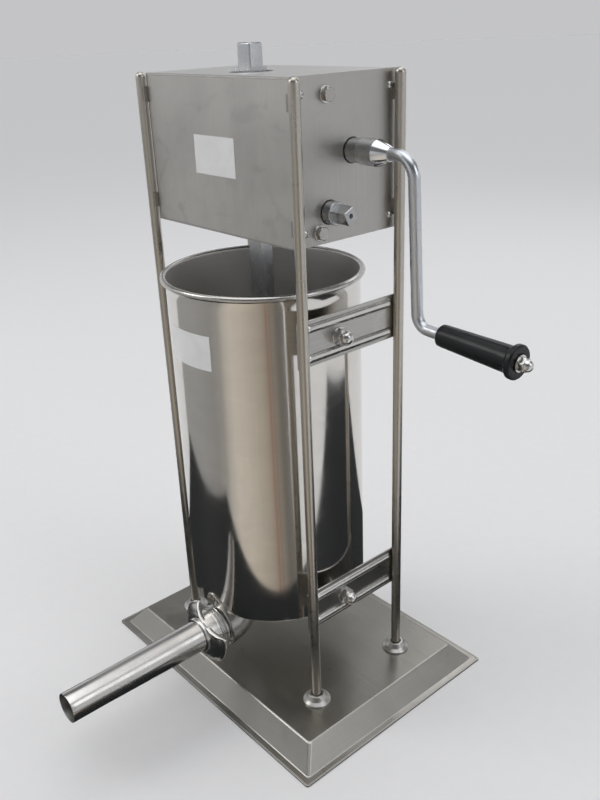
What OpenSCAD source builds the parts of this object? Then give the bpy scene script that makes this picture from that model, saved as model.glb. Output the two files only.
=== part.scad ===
// Vertical two-speed sausage stuffer, 15 litre class, in stainless steel.
// Millimetres. X to the crank side, -Y to the nozzle, Z up. The origin is on
// the ground under the middle of the base tray.

/* [Base tray] */
// Overall width of the tray, lip included
base_w = 409; // [380:1:440]
// Overall depth of the tray, lip included
base_d = 309; // [290:1:340]
// Height of the flat top above the ground
base_h = 26; // [22:1:32]
// Width of the flat top
top_w = 352; // [330:1:360]
// Depth of the flat top
top_d = 250; // [230:1:256]
// Width of the flat lip all round
lip_w = 7; // [4:0.5:9]
// Sheet thickness of the tray
tray_t = 1.5; // [1:0.1:2]

/* [Posts] */
// Diameter of the four posts
post_d = 11.5; // [10:0.5:12]
// Half the distance between posts across the width
post_x = 129.5; // [129.5:0.5:132]
// Half the distance between posts front to back
post_y = 70.6; // [70:0.1:71.5]
// Height of the top of the domed posts
post_top = 747; // [747:1:760]
// Diameter of the collars at the foot of the posts
collar_d = 34; // [28:1:40]
// Height of the collars
collar_h = 10.5; // [8:0.5:14]

/* [Gearbox casing] */
// Half width of the casing over the side plates
box_x = 121; // [121:0.5:122]
// Front face of the casing, along Y
box_front = -69; // [-69:0.5:-68]
// Back face of the casing, along Y
box_back = 75.5; // [74:0.5:76]
// Underside of the casing
box_z0 = 586; // [585:0.5:587]
// Top of the casing
box_z1 = 746; // [746:0.5:746.5]
// Sheet thickness of the casing
box_t = 1.5; // [1:0.1:1.5]
// Thickness of the side plates
side_t = 2; // [1.5:0.1:2]

/* [Barrel] */
// Outer radius of the barrel
barrel_r = 111; // [110.5:0.1:111]
// Wall thickness of the barrel
barrel_t = 1.2; // [1:0.1:1.2]
// Underside of the barrel
barrel_z0 = 126; // [125.5:0.1:126]
// Height of the middle of the rolled rim
rim_z = 533.4; // [500:0.1:534]
// Radius of the rolled rim's bead
rim_r = 3.4; // [2:0.1:3.5]
// Centre of the barrel, along Y
barrel_y = -16; // [-16.5:0.5:-15.5]

/* [Spout and nozzle] */
// Height of the nozzle axis
noz_z = 93; // [92:0.5:93]
// Outer radius of the nozzle tube at its flange
noz_r = 19.5; // [18:0.1:19.6]
// Outer radius of the straight end of the nozzle
tip_r = 17.7; // [12:0.1:17.8]
// Length of the straight end of the nozzle
tip_len = 42; // [20:1:80]
// Wall of the nozzle tube
noz_t = 1.2; // [1:0.1:1.5]
// Free end of the nozzle, along Y
noz_end = -332; // [-340:1:-300]
// Outer radius of the elbow tube
elbow_r = 30; // [28:0.5:30]
// Wing span of the ring nut, tip to tip
wing_span = 82; // [76:1:86]

/* [Drive] */
// Width of the rack across X
rack_w = 22; // [20:0.5:22]
// Top of the rack with the piston down
rack_top = 774; // [765:1:780]

/* [Crank] */
// Diameter of the crank rod
rod_d = 12; // [10:0.5:12]
// Diameter of the crank hub
hub_d = 26.4; // [26:0.2:28]
// Diameter of the grip at its outer end
grip_d = 27; // [25:0.5:28]

/* [Hidden] */
up_z = 672.7;                      // upper, fast shaft
up_y = 10.5;
rack_m = 2.5;                      // module and teeth of the rack pinion
rack_n = 17;
gear_m = 2;                        // module and teeth of the reduction pair
big_n = 52;
small_n = 13;
$fn = 64;
e = 0.01;
steel = [0.70, 0.69, 0.66];
bright = [0.82, 0.82, 0.80];
zinc = [0.66, 0.69, 0.72];
dark = [0.13, 0.14, 0.15];

post_r = post_d / 2;
side_in = box_x - side_t;          // inner face of the side plates
rack_y1 = up_y - rack_m * rack_n / 2 + 0.9 * rack_m;   // tips of the rack
rack_y0 = -26;                     // front of the rack
rack_ym = (rack_y0 + rack_y1) / 2;
shaft_gap = gear_m * (big_n + small_n) / 2;
low_y = up_y - shaft_gap * cos(60);
low_z = up_z - shaft_gap * sin(60);
plate_x1 = post_x - post_r;        // outer face of the side brackets
plate_x0 = plate_x1 - 2;
brk_up = 486.6;                    // middle of the upper brackets
brk_lo = 153.5;                    // middle of the lower brackets
stud_z = [485.2, 152.1];
cross_z = [608, 724];              // pads that join the posts to the casing
screw_yz = [[64, 730], [64, 600], [-55, 730], [-55, 600]];
cover_xy = [[-100, -59], [100, -59], [-100, 65], [100, 65]];
guide_bolt_yz = [[-24, 728], [-36, 598]];
grip_tilt = 2.95;                  // droop of the grip axis
grip_x = 241;
grip_z = 507.2;
neck_r = 21.5;                     // threaded neck of the elbow
elbow_bend = 33;                   // bend radius of the elbow's centre line
elbow_y = -84;                     // centre of the elbow's vertical end
elbow_by = elbow_y - elbow_bend;   // centre of the bend
nut_turn = -30;                    // wings at rest, from +X
piston_z = 131;                    // underside of the piston, down

// ---------- helpers ----------
// turns XY outlines into YZ ones, extruded along +X
module along_x(x0, len) { translate([x0, 0, 0]) rotate([90, 0, 90]) linear_extrude(len) children(); }
module cyl_x(x0, len, r) { translate([x0, 0, 0]) rotate([0, 90, 0]) cylinder(h = len, r = r); }
module cyl_y(y0, len, r) { translate([0, y0, 0]) rotate([-90, 0, 0]) cylinder(h = len, r = r); }
module rev_x() { rotate([0, 90, 0]) rotate_extrude() children(); }
module corners() { for (sx = [-1, 1], sy = [-1, 1]) translate([sx * post_x, sy * post_y, 0]) children(); }
module box(x0, x1, y0, y1, z0, z1) { translate([x0, y0, z0]) cube([x1 - x0, y1 - y0, z1 - z0]); }
module hex(af, h) { cylinder(h = h, r = af / sqrt(3), $fn = 6); }
module ring(h, r1, r0) { difference() { cylinder(h = h, r = r1); translate([0, 0, -1]) cylinder(h = h + 2, r = r0); } }

// pyramid frustum as two crossed prisms: w0 x d0 at z0, w1 x d1 at z1
module frustum(w0, d0, w1, d1, z0, z1) {
  intersection() {
    translate([0, d0, 0]) rotate([90, 0, 0]) linear_extrude(2 * d0)
      polygon([[-w0 / 2, z0], [w0 / 2, z0], [w1 / 2, z1], [-w1 / 2, z1]]);
    translate([-w0, 0, 0]) rotate([90, 0, 90]) linear_extrude(2 * w0)
      polygon([[-d0 / 2, z0], [d0 / 2, z0], [d1 / 2, z1], [-d1 / 2, z1]]);
  }
}

// involute spur gear outline, a tooth on the +X axis
function inv(r, rb) = let (t = sqrt(max(0, (r / rb) * (r / rb) - 1))) t * 180 / PI - atan(t);
function half_tooth(r, n, m, lash) = let (rp = m * n / 2, rb = rp * cos(20))
  90 / n - lash / rp * 90 / PI + inv(rp, rb) - inv(max(r, rb), rb);
function gear_pts(n, m, add, ded, lash) = let (rp = m * n / 2, rb = rp * cos(20), r0 = rp - ded, r1 = rp + add,
    rs = [max(rb, r0), (2 * max(rb, r0) + r1) / 3, (max(rb, r0) + 2 * r1) / 3, r1])
  [for (i = [0:n - 1]) let (a = i * 360 / n) each concat(
    [[r0, a - half_tooth(rs[0], n, m, lash) - 0.3]],
    [for (r = rs) [r, a - half_tooth(r, n, m, lash)]],
    [for (k = [3:-1:0]) [rs[k], a + half_tooth(rs[k], n, m, lash)]],
    [[r0, a + half_tooth(rs[0], n, m, lash) + 0.3]])];
module gear2d(n, m, add, ded, lash) { polygon([for (p = gear_pts(n, m, add, ded, lash)) [p[0] * cos(p[1]), p[0] * sin(p[1])]]); }

// ---------- base ----------
module base_tray() color(steel) difference() {
  union() {
    box(-base_w / 2, base_w / 2, -base_d / 2, base_d / 2, 0, tray_t + 0.6);
    frustum(base_w - 2 * lip_w, base_d - 2 * lip_w, top_w, top_d, 0, base_h);
  }
  frustum(base_w - 2 * lip_w - 4, base_d - 2 * lip_w - 4, top_w - 2.4, top_d - 2.4, -e, base_h - tray_t);
  box(-base_w / 2 + lip_w + 2, base_w / 2 - lip_w - 2, -base_d / 2 + lip_w + 2, base_d / 2 - lip_w - 2, -1, e);
  corners() cylinder(h = 60, r = 5.2);
}
module post() {
  translate([0, 0, base_h]) cylinder(h = post_top - post_r - base_h, r = post_r);
  translate([0, 0, post_top - post_r]) intersection() { sphere(r = post_r); cylinder(h = post_r + 1, r = post_r + 1); }
  translate([0, 0, 5]) cylinder(h = base_h - 5 + e, r = 5);
}
module post_at(sx, sy) color(steel) translate([sx * post_x, sy * post_y, 0]) post();
module post_front_left() post_at(-1, -1);
module post_front_right() post_at(1, -1);
module post_back_left() post_at(-1, 1);
module post_back_right() post_at(1, 1);
module post_collars() color(bright) corners() translate([0, 0, base_h]) rotate_extrude()
  polygon([[post_r, 0], [collar_d / 2, 0], [collar_d / 2, 1.6], [collar_d / 2 - 0.8, 2.4], [collar_d / 2 - 5, 5.6],
           [post_r + 3, collar_h - 1.2], [post_r + 2, collar_h], [post_r, collar_h]]);
module post_washers() color(zinc) corners() translate([0, 0, base_h - tray_t - 2]) ring(2, 10, 5.2);
module post_nuts() color(zinc) corners() translate([0, 0, base_h - tray_t - 10]) difference() {
  hex(17, 8);
  translate([0, 0, -1]) cylinder(h = 10, r = 5);
}
// pads that join the posts to the side plates of the casing
module pads_side(s) for (z = cross_z, sy = [-1, 1]) difference() {
  box(s > 0 ? box_x : -post_x + 1, s > 0 ? post_x - 1 : -box_x, sy * post_y - 2.7, sy * post_y + 2.7, z - 8, z + 8);
  translate([s * post_x, sy * post_y, z - 20]) cylinder(h = 40, r = post_r);
}
module post_pads() color(steel) { pads_side(1); pads_side(-1); }

// ---------- casing ----------
module side_plate(s) difference() {
  box(s > 0 ? side_in : -box_x, s > 0 ? box_x : -side_in, box_front, box_back, box_z0 + 2, box_z1);
  for (p = screw_yz) translate([0, p[0], p[1]]) cyl_x(s > 0 ? side_in - 5 : -box_x - 5, 20, 2.2);
  for (p = guide_bolt_yz) translate([0, p[0], p[1]]) cyl_x(s > 0 ? side_in - 5 : -box_x - 5, 20, 4.2);
  if (s > 0) {
    translate([0, up_y, up_z]) cyl_x(side_in - 5, 20, 13);
    translate([0, low_y, low_z]) cyl_x(side_in - 5, 20, 12.6);
  }
}
module side_plate_left() color(steel) side_plate(-1);
module side_plate_right() color(steel) side_plate(1);
module gearbox_shell() color(steel) difference() {
  union() {
    box(-side_in, side_in, box_front, box_front + box_t, box_z0 + 2, box_z1);
    box(-side_in, side_in, box_back - box_t, box_back, box_z0 + 2, box_z1);
    box(-side_in, side_in, box_front, box_back, box_z1 - box_t, box_z1);
    box(-side_in, side_in, box_front, box_front + 18, box_z0 + 2, box_z0 + 2 + box_t);
    box(-side_in, side_in, box_back - 18, box_back, box_z0 + 2, box_z0 + 2 + box_t);
    for (s = [0, 1]) mirror([s, 0, 0]) {
      box(side_in - box_t, side_in, box_front, box_front + 20, box_z0 + 2, box_z1);
      box(side_in - box_t, side_in, box_back - 20, box_back, box_z0 + 2, box_z1);
    }
  }
  translate([0, rack_ym + 1.2, box_z1 - 10]) cylinder(h = 20, r = 23);
  for (p = screw_yz) translate([0, p[0], p[1]]) cyl_x(-200, 400, 2);
  for (p = cover_xy) translate([p[0], p[1], box_z0 - 5]) cylinder(h = 20, r = 2);
}
module bottom_cover() color(steel) difference() {
  box(-box_x, box_x, box_front, box_back, box_z0, box_z0 + 2);
  translate([0, rack_ym, box_z0 - 5]) cylinder(h = 20, r = 20);
  for (p = cover_xy) translate([p[0], p[1], box_z0 - 5]) cylinder(h = 20, r = 2);
}
module pan_screw(len) rotate_extrude() polygon([[0, 2.4], [2, 2.2], [3.3, 1.3], [3.7, 0], [2, 0], [2, -len], [0, -len]]);
module casing_screws() color(bright) {
  for (p = screw_yz, s = [-1, 1]) translate([s * box_x, p[0], p[1]]) rotate([0, s * 90, 0]) pan_screw(8);
  for (p = cover_xy) translate([p[0], p[1], box_z0]) rotate([180, 0, 0]) pan_screw(8);
}
// cross members that guide the rack and carry the bearings
module rack_hole(z0, z1) box(-rack_w / 2 - 0.3, rack_w / 2 + 0.3, rack_y0 - 0.3, rack_y1 + 0.3, z0, z1);
module guide_member_upper() color(zinc) difference() {
  union() {
    box(-side_in, side_in, -40, 14, 730, 736);
    for (s = [-1, 1]) box(s > 0 ? side_in - 6 : -side_in, s > 0 ? side_in : -side_in + 6, -38, -10, 716, 736);
    box(-rack_w / 2 - 2.3, rack_w / 2 + 2.3, rack_y0 - 2.3, rack_y1 + 2.3, 724, 750.5);
  }
  rack_hole(700, 800);
  translate([0, guide_bolt_yz[0][0], guide_bolt_yz[0][1]]) { cyl_x(side_in - 7, 20, 4); cyl_x(-side_in - 13, 20, 4); }
}
module guide_member_lower() color(zinc) difference() {
  union() {
    box(-side_in, side_in, -48.5, 14, 590, 596);
    for (s = [-1, 1]) box(s > 0 ? side_in - 6 : -side_in, s > 0 ? side_in : -side_in + 6, -47, -25, 590, 608);
    box(-rack_w / 2 - 5, rack_w / 2 + 5, rack_y0 - 5, rack_y1 + 5, 590, 606);
  }
  rack_hole(500, 700);
  translate([0, guide_bolt_yz[1][0], guide_bolt_yz[1][1]]) { cyl_x(side_in - 7, 20, 4); cyl_x(-side_in - 13, 20, 4); }
  translate([0, low_y, low_z]) cyl_x(-200, 400, 16.4);
}
module guide_bolts() color(bright) for (p = guide_bolt_yz, s = [-1, 1]) translate([s * box_x, p[0], p[1]]) rotate([0, s * 90, 0]) {
  translate([0, 0, 1.6]) intersection() { hex(13, 5.3); cylinder(h = 5.3, r1 = 10.5, r2 = 6.8); }
  translate([0, 0, -8]) cylinder(h = 9.7, r = 4);
}
module guide_bolt_washers() color(bright) for (p = guide_bolt_yz, s = [-1, 1]) translate([s * box_x, p[0], p[1]]) rotate([0, s * 90, 0]) ring(1.6, 8.3, 4.2);
module bearing_plate() color(zinc) difference() {
  box(44, 50, -44, 40, 596, 730);
  translate([0, up_y, up_z]) cyl_x(40, 20, 15);
  translate([0, low_y, low_z]) cyl_x(40, 20, 13);
}
module bush(x0, len, r1, r0) difference() { cyl_x(x0, len, r1); cyl_x(x0 - 1, len + 2, r0); }
module upper_bushes() color([0.72, 0.55, 0.30]) translate([0, up_y, up_z]) { bush(side_in - 14, 14, 18, 12.05); bush(-side_in, 14, 18, 10.05); }
module lower_bushes() color([0.72, 0.55, 0.30]) translate([0, low_y, low_z]) { bush(side_in - 14, 14, 16, 11.75); bush(42, 10, 13, 8.05); }

// ---------- upper shaft and crank ----------
module upper_shaft() color(zinc) translate([0, up_y, up_z]) difference() {
  union() {
    cyl_x(-side_in + 0.5, side_in + 89.5, 10);
    cyl_x(89.9, 46.5, 12);
    cyl_x(136.3, 18.7, 9);
  }
  box(-12, 12, -2.5, 2.5, 7.5, 11);
  box(76, 90.1, -2.5, 2.5, 7.5, 11);
  translate([147, 0, -20]) cylinder(h = 40, r = 2.5);
}
module rack_pinion() color(zinc) translate([0, up_y, up_z]) difference() {
  union() {
    along_x(-rack_w / 2 + cheek + 0.4, rack_w - 2 * cheek - 0.8) rotate(180) gear2d(rack_n, rack_m, 0.9 * rack_m, 1.2 * rack_m, 0.5);
    cyl_x(-20, 40, 15.5);
  }
  cyl_x(-30, 60, 10);
  box(-12, 12, -2.5, 2.5, 5, 12.6);
}
module big_gear() color(zinc) translate([0, up_y, up_z]) difference() {
  union() {
    along_x(78, 11) rotate(-120) gear2d(big_n, gear_m, 0.8 * gear_m, 1.2 * gear_m, 0.5);
    cyl_x(70, 19, 20);
  }
  cyl_x(60, 40, 10);
  box(76, 90, -2.5, 2.5, 5, 12.6);
  for (a = [0:60:300]) rotate([a, 0, 0]) translate([0, 34, 0]) cyl_x(60, 40, 8);
}
module shaft_keys() color(zinc) translate([0, up_y, up_z]) { box(-12, 12, -2.5, 2.5, 7.5, 12.5); box(76, 89, -2.5, 2.5, 7.5, 12.5); }
module upper_shaft_rings() color(dark) translate([0, up_y, up_z]) for (x = [-102, -23, 67]) bush(x, 2, 13, 10);
module crank_hub() color(bright) translate([0, up_y, up_z]) difference() {
  rev_x() polygon([[0, 136.4], [hub_d / 2 - 0.6, 136.4], [hub_d / 2, 137], [hub_d / 2, 157.6], [7, 173.6], [0, 173.6]]);
  cyl_x(130, 26, 9);
  cyl_x(155, 30, rod_d / 2);
  translate([147, 0, -20]) cylinder(h = 40, r = 2.5);
}
module crank_pin() color(zinc) translate([147, up_y, up_z - 12.9]) cylinder(h = 25.8, r = 2.5);
// bend with its centre at c, from angle a0 over da, in the XZ plane
module bend(c, r, a0, da) translate([c[0], 0, c[1]]) rotate([90, 0, 0]) rotate([0, 0, a0]) rotate_extrude(angle = da) translate([r, 0]) circle(r = rod_d / 2 + 0.02);
module stick(p, q, r) { d = q - p; L = norm(d); translate([p[0], 0, p[1]]) rotate([0, atan2(d[0], d[1]), 0]) cylinder(h = L, r = r); }
rod_lean = 2.9;
bend_r = 22;
low_r = 15;
b1 = [181.3, up_z - bend_r];                         // centre of the upper bend
b1_end = b1 + bend_r * [cos(rod_lean), sin(rod_lean)];
rod_dir = [sin(rod_lean), -cos(rod_lean)];
grip_dir = [cos(grip_tilt), -sin(grip_tilt)];
grip_p = [grip_x, grip_z];
// lower bend: tangent to the rod and to the grip axis
n_rod = [cos(rod_lean), sin(rod_lean)];
n_grip = [sin(grip_tilt), cos(grip_tilt)];
// the centre that lies low_r from both lines
k_rod = n_rod * b1_end + low_r;
k_grip = n_grip * grip_p + low_r;
det = n_rod[0] * n_grip[1] - n_rod[1] * n_grip[0];
b2 = [(k_rod * n_grip[1] - n_rod[1] * k_grip) / det, (n_rod[0] * k_grip - k_rod * n_grip[0]) / det];
b2_start = b2 - low_r * n_rod;
b2_end = b2 - low_r * n_grip;
module crank_rod() color(bright) translate([0, up_y, 0]) {
  stick([155.1, up_z], [181.6, up_z], rod_d / 2);
  bend(b1, bend_r, rod_lean, 90 - rod_lean);
  stick(b1_end - 0.3 * rod_dir, b2_start + 0.3 * rod_dir, rod_d / 2);
  bend(b2, low_r, 180 + rod_lean, 90 - rod_lean - grip_tilt);
  stick(b2_end - 0.3 * grip_dir, grip_p - 2 * grip_dir, rod_d / 2);
  stick(grip_p - 2.1 * grip_dir, grip_p - 0.6 * grip_dir, 8);
  stick(grip_p - 0.7 * grip_dir, grip_p + 103 * grip_dir, 4);
}
module on_grip() translate([grip_x, up_y, grip_z]) rotate([0, 90 + grip_tilt, 0]) children();
module crank_grip() color(dark) on_grip() rotate_extrude()
  polygon([[4.08, 0], [9.5, 0], [10.8, 0.6], [11.2, 1.8], [grip_d / 2 - 0.4, 70], [grip_d / 2, 80], [grip_d / 2, 84.4], [16, 85.2], [17, 86.4], [17, 90.4], [16, 91.6], [4.08, 91.6]]);
module grip_washer() color(bright) on_grip() translate([0, 0, 92]) ring(1.5, 8.5, 4);
module grip_nut() color(bright) on_grip() translate([0, 0, 93.5]) difference() {
  union() { intersection() { hex(13, 6.5); cylinder(h = 6.5, r1 = 10.7, r2 = 6.7); }
    intersection() { translate([0, 0, 6.5]) sphere(r = 6.2); translate([0, 0, 3]) cylinder(h = 20, r = 6.2); } }
  translate([0, 0, -1]) cylinder(h = 10.5, r = 4);
}

// ---------- lower shaft ----------
module lower_shaft() color(zinc) translate([0, low_y, low_z]) difference() {
  union() {
    cyl_x(38, 63, 8);
    cyl_x(100.9, 31.1, 11.7);
    intersection() { rotate([27, 0, 0]) box(131, 151.5, -7, 7, -7, 7); cyl_x(120, 40, 9.6); }
  }
  cyl_x(143, 20, 2);
  box(76, 92, -2.5, 2.5, 5.5, 9);
}
module small_gear() color(zinc) translate([0, low_y, low_z]) difference() {
  along_x(76, 16) rotate(60 + 180 / small_n) gear2d(small_n, gear_m, 0.8 * gear_m, 1.2 * gear_m, 0.5);
  cyl_x(70, 30, 8);
  box(76 - 1, 92 + 1, -2.5, 2.5, 4, 9);
}
module lower_shaft_rings() color(dark) translate([0, low_y, low_z]) { bush(39, 2, 11, 8); bush(73.5, 2, 11, 8); box(76, 92, -2.45, 2.45, 5.5, 9); }

// ---------- rack and piston ----------
rack_p = PI * rack_m;
rack_z0 = 159;
teeth_lo = up_z - 55.5 * rack_p;
teeth_n = 67;
function rack_side() = [for (k = [0:teeth_n - 1]) let (z = teeth_lo + k * rack_p, h = rack_p / 4 - 0.25, ad = 0.9 * rack_m, de = 1.2 * rack_m, y = up_y - rack_m * rack_n / 2)
  each [[y - de, z - h - de * tan(20)], [y + ad, z - h + ad * tan(20)], [y + ad, z + h - ad * tan(20)], [y - de, z + h + de * tan(20)]]];
// the toothed strip runs between two plain cheeks, so the bar's edges stay smooth
cheek = 3;
function rack_bar() = [[rack_y0, rack_z0], [rack_y1, rack_z0], [rack_y1, rack_top - 1.5], [rack_y1 - 1, rack_top], [rack_y0 + 1, rack_top], [rack_y0, rack_top - 1.5]];
module rack() color(zinc) difference() {
  union() {
    along_x(-rack_w / 2 + cheek, rack_w - 2 * cheek) polygon(concat([[rack_y0, rack_z0], [rack_y1, rack_z0], [rack_y1, teeth_lo - 6]], [[rack_y1, teeth_lo - rack_p / 2 - 1.5]], rack_side(),
      [[rack_y1, teeth_lo + (teeth_n - 0.5) * rack_p + 1.5], [rack_y1, rack_top - 1.5], [rack_y1 - 1, rack_top], [rack_y0 + 1, rack_top], [rack_y0, rack_top - 1.5]]));
    for (x = [-rack_w / 2, rack_w / 2 - cheek]) along_x(x, cheek) polygon(rack_bar());
  }
  translate([0, rack_ym, 166]) cyl_x(-40, 80, 3);
}
module rack_pin() color(zinc) translate([0, rack_ym, 166]) cyl_x(-22, 44, 3);
module piston_hub() color(bright) difference() {
  translate([0, rack_ym, 157]) cylinder(h = 16.5, r = 25);
  box(-rack_w / 2, rack_w / 2, rack_y0, rack_y1, rack_z0, 200);
  translate([0, rack_ym, 166]) cyl_x(-40, 80, 3);
}
piston_holes = [[60, 30], [60, 150], [60, 270]];
module at_holes() for (p = piston_holes) translate([p[0] * cos(p[1]), barrel_y + p[0] * sin(p[1]), 0]) children();
valve_p = [-60, 45];
module piston_plate_top() color(bright) difference() {
  translate([0, barrel_y, 151]) rotate_extrude() polygon([[0, 0], [106, 0], [106, 4], [104, 6], [0, 6]]);
  at_holes() translate([0, 0, 140]) cylinder(h = 30, r = 3.2);
  translate([valve_p[0], valve_p[1], 140]) cylinder(h = 30, r = 5.5);
}
module piston_seal() color([0.9, 0.9, 0.88]) difference() {
  translate([0, barrel_y, 137]) rotate_extrude() polygon([[0, 0], [106.5, 0], [109.3, 2], [109.3, 5], [108, 7], [109.3, 9], [109.3, 12], [106.5, 14], [0, 14]]);
  at_holes() translate([0, 0, 130]) cylinder(h = 30, r = 3.2);
  translate([valve_p[0], valve_p[1], 130]) cylinder(h = 40, r = 5.5);
}
module piston_plate_bottom() color(bright) difference() {
  translate([0, barrel_y, piston_z]) rotate_extrude() polygon([[0, 0], [104, 0], [106, 2], [106, 6], [0, 6]]);
  at_holes() translate([0, 0, 133]) cylinder(h = 30, r = 3);
  translate([valve_p[0], valve_p[1], 120]) cylinder(h = 30, r = 8);
}
module piston_screws() color(bright) at_holes() { translate([0, 0, 133.2]) cylinder(h = 24, r = 3); translate([0, 0, 157]) hex(10, 4); }
// bleed valve: a loose stem with a head above and a stop below
module air_valve() color(bright) translate([valve_p[0], valve_p[1], 0]) {
  translate([0, 0, 131.4]) cylinder(h = 2, r = 7.4);
  translate([0, 0, 133]) cylinder(h = 25, r = 5);
  translate([0, 0, 157.05]) cylinder(h = 3, r = 8.5);
}

// ---------- barrel ----------
barrel_ri = barrel_r - barrel_t;
module barrel() color(bright) difference() {
  translate([0, barrel_y, 0]) rotate_extrude($fn = 128) union() {
    polygon([[0, barrel_z0], [barrel_r - 3, barrel_z0], [barrel_r - 0.9, barrel_z0 + 0.9], [barrel_r, barrel_z0 + 3], [barrel_r, rim_z],
      [barrel_ri, rim_z], [barrel_ri, barrel_z0 + 2], [0, barrel_z0 + 2]]);
    translate([barrel_ri + rim_r, rim_z]) circle(r = rim_r);
  }
  translate([0, elbow_y, 100]) cylinder(h = 60, r = elbow_r - 1.5);
  translate([0, barrel_y, barrel_z0 + 2]) cylinder(h = rim_z - barrel_z0, r = barrel_ri);
}
// weld bosses on the barrel wall that take the hanging studs
module barrel_bosses() color(bright) difference() {
  for (z = stud_z, s = [-1, 1]) translate([0, barrel_y, z]) cyl_x(s > 0 ? 108 : -plate_x0, plate_x0 - 108, 9);
  translate([0, barrel_y, 100]) cylinder(h = 460, r = barrel_r);
  for (z = stud_z, s = [-1, 1]) translate([0, barrel_y, z]) cyl_x(s > 0 ? 112.5 : -140, 27.5, 5);
}
// quarter bend in the YZ plane from straight up at the barrel to straight ahead
module quarter(r, over) translate([0, elbow_by, barrel_z0]) rotate([0, 90, 0]) rotate([0, 0, -over]) rotate_extrude(angle = 90 + 2 * over) translate([elbow_bend, 0]) circle(r = r);
module elbow_spout() color(bright) difference() {
  union() {
    quarter(elbow_r, 0);
    translate([0, 0, noz_z]) rotate([90, 0, 0]) rotate_extrude() polygon([[0, 0.4 - elbow_by - 0.8], [elbow_r - 0.8, -elbow_by - 0.4], [elbow_r - 0.8, 0.8 - elbow_by], [25.5, 3 - elbow_by], [neck_r, 3 - elbow_by], [neck_r, 138], [0, 138]]);
  }
  quarter(elbow_r - 1.5, 1);
  translate([0, 0, noz_z]) cyl_y(-150, 151 + elbow_by, 18);
}
module spout_gasket() color([0.9, 0.9, 0.88]) translate([0, 0, noz_z]) difference() { cyl_y(-139.5, 1.5, 21.2); cyl_y(-145, 20, 18); }
module nozzle() color(bright) translate([0, 0, noz_z]) rotate([90, 0, 0]) rotate_extrude() polygon([[21.2, 139.5], [21.2, 141.5], [noz_r + 0.6, 141.8], [noz_r, 142.6],
  [tip_r, -noz_end - tip_len], [tip_r, -noz_end], [tip_r - noz_t, -noz_end], [tip_r - noz_t, -noz_end - tip_len], [noz_r - noz_t, 142], [noz_r - noz_t, 139.5]]);
// outline of one ear seen along the nozzle, rounded at its tip
module wing() {
  rotate([90, 0, 0]) linear_extrude(60) union() {
    polygon(concat([for (a = [-44:4:44]) [wing_span / 2 * cos(a) * (1 - 0.0000045 * a * a * a * a / 200), wing_span / 2 * sin(a)]], [[15, 18], [15, -18]]));
  }
}
// profile of both ears seen from below: thin, and swept back at the tips
module ear_side() linear_extrude(80, center = true) polygon([[15, -148.5], [26, -148.8], [32, -146.2], [wing_span / 2 + 1, -138.5], [wing_span / 2 + 1, -134], [33, -139.5], [26, -142], [15, -142]]);
// nut with a front lip that draws the nozzle's flange home
module ring_nut() color(bright) translate([0, 0, noz_z]) rotate([0, -nut_turn, 0]) difference() {
  union() {
    rotate([90, 0, 0]) rotate_extrude() polygon([[15, 121], [26.6, 121], [27.2, 121.6], [27.2, 124.4], [26.6, 125], [24.8, 125.4], [24.8, 146.5], [23.6, 148], [22.4, 148.3], [21.8, 151.4], [21.2, 152], [15, 152]]);
    for (a = [0, 180]) rotate([0, a, 0]) intersection() { translate([0, -110, 0]) wing(); ear_side(); }
  }
  cyl_y(-160, 60, noz_r + 0.6);
  cyl_y(-142.4, 40, 21.8);
}

// ---------- side brackets ----------
module bead(z) translate([0, 0, z]) intersection() {
  union() { translate([plate_x1 - 1, -58, 0]) rotate([-90, 0, 0]) cylinder(h = 116, r = 4.9);
    for (y = [-58, 58]) translate([plate_x1 - 1, y, 0]) sphere(r = 4.9); }
  box(plate_x1 - 1, plate_x1 + 9, -80, 80, -20, 20);
}
module bracket(zm, h, zs) difference() {
  union() {
    box(plate_x0, plate_x1, -post_y - 2.5, post_y + 2.5, zm - h / 2, zm + h / 2);
    bead(zm + 16.4); bead(zm - 16.4);
  }
  translate([0, barrel_y, zs]) cyl_x(plate_x0 - 1, 20, 5.25);
}
module bracket_upper_right() color(steel) bracket(brk_up, 50, stud_z[0]);
module bracket_upper_left() color(steel) mirror([1, 0, 0]) bracket(brk_up, 50, stud_z[0]);
module bracket_lower_right() color(steel) bracket(brk_lo, 50, stud_z[1]);
module bracket_lower_left() color(steel) mirror([1, 0, 0]) bracket(brk_lo, 50, stud_z[1]);
module at_studs() for (z = stud_z, s = [-1, 1]) translate([s * plate_x1, barrel_y, z]) rotate([0, s * 90, 0]) children();
module barrel_studs() color(bright) at_studs() translate([0, 0, 112.6 - plate_x1]) cylinder(h = 13 + plate_x1 - 112.6, r = 5);
module stud_washers() color(bright) at_studs() ring(2, 10, 5.25);
module acorn_nuts() color(bright) at_studs() translate([0, 0, 2]) difference() {
  union() { intersection() { hex(17, 8); cylinder(h = 8, r1 = 13.8, r2 = 8.8); }
    intersection() { translate([0, 0, 10]) sphere(r = 8); translate([0, 0, 5]) cylinder(h = 20, r = 8); } }
  translate([0, 0, -1]) cylinder(h = 12, r = 5);
}

// ---------- blank stickers ----------
module label_casing() color("white") box(-37.7, 31.8, box_front - 0.25, box_front, 646.4, 686.4);
module label_barrel() color("white") translate([0, barrel_y, 450]) rotate([0, 0, -107.5]) rotate_extrude(angle = 36) translate([barrel_r, 0]) square([0.25, 39.5]);

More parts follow.
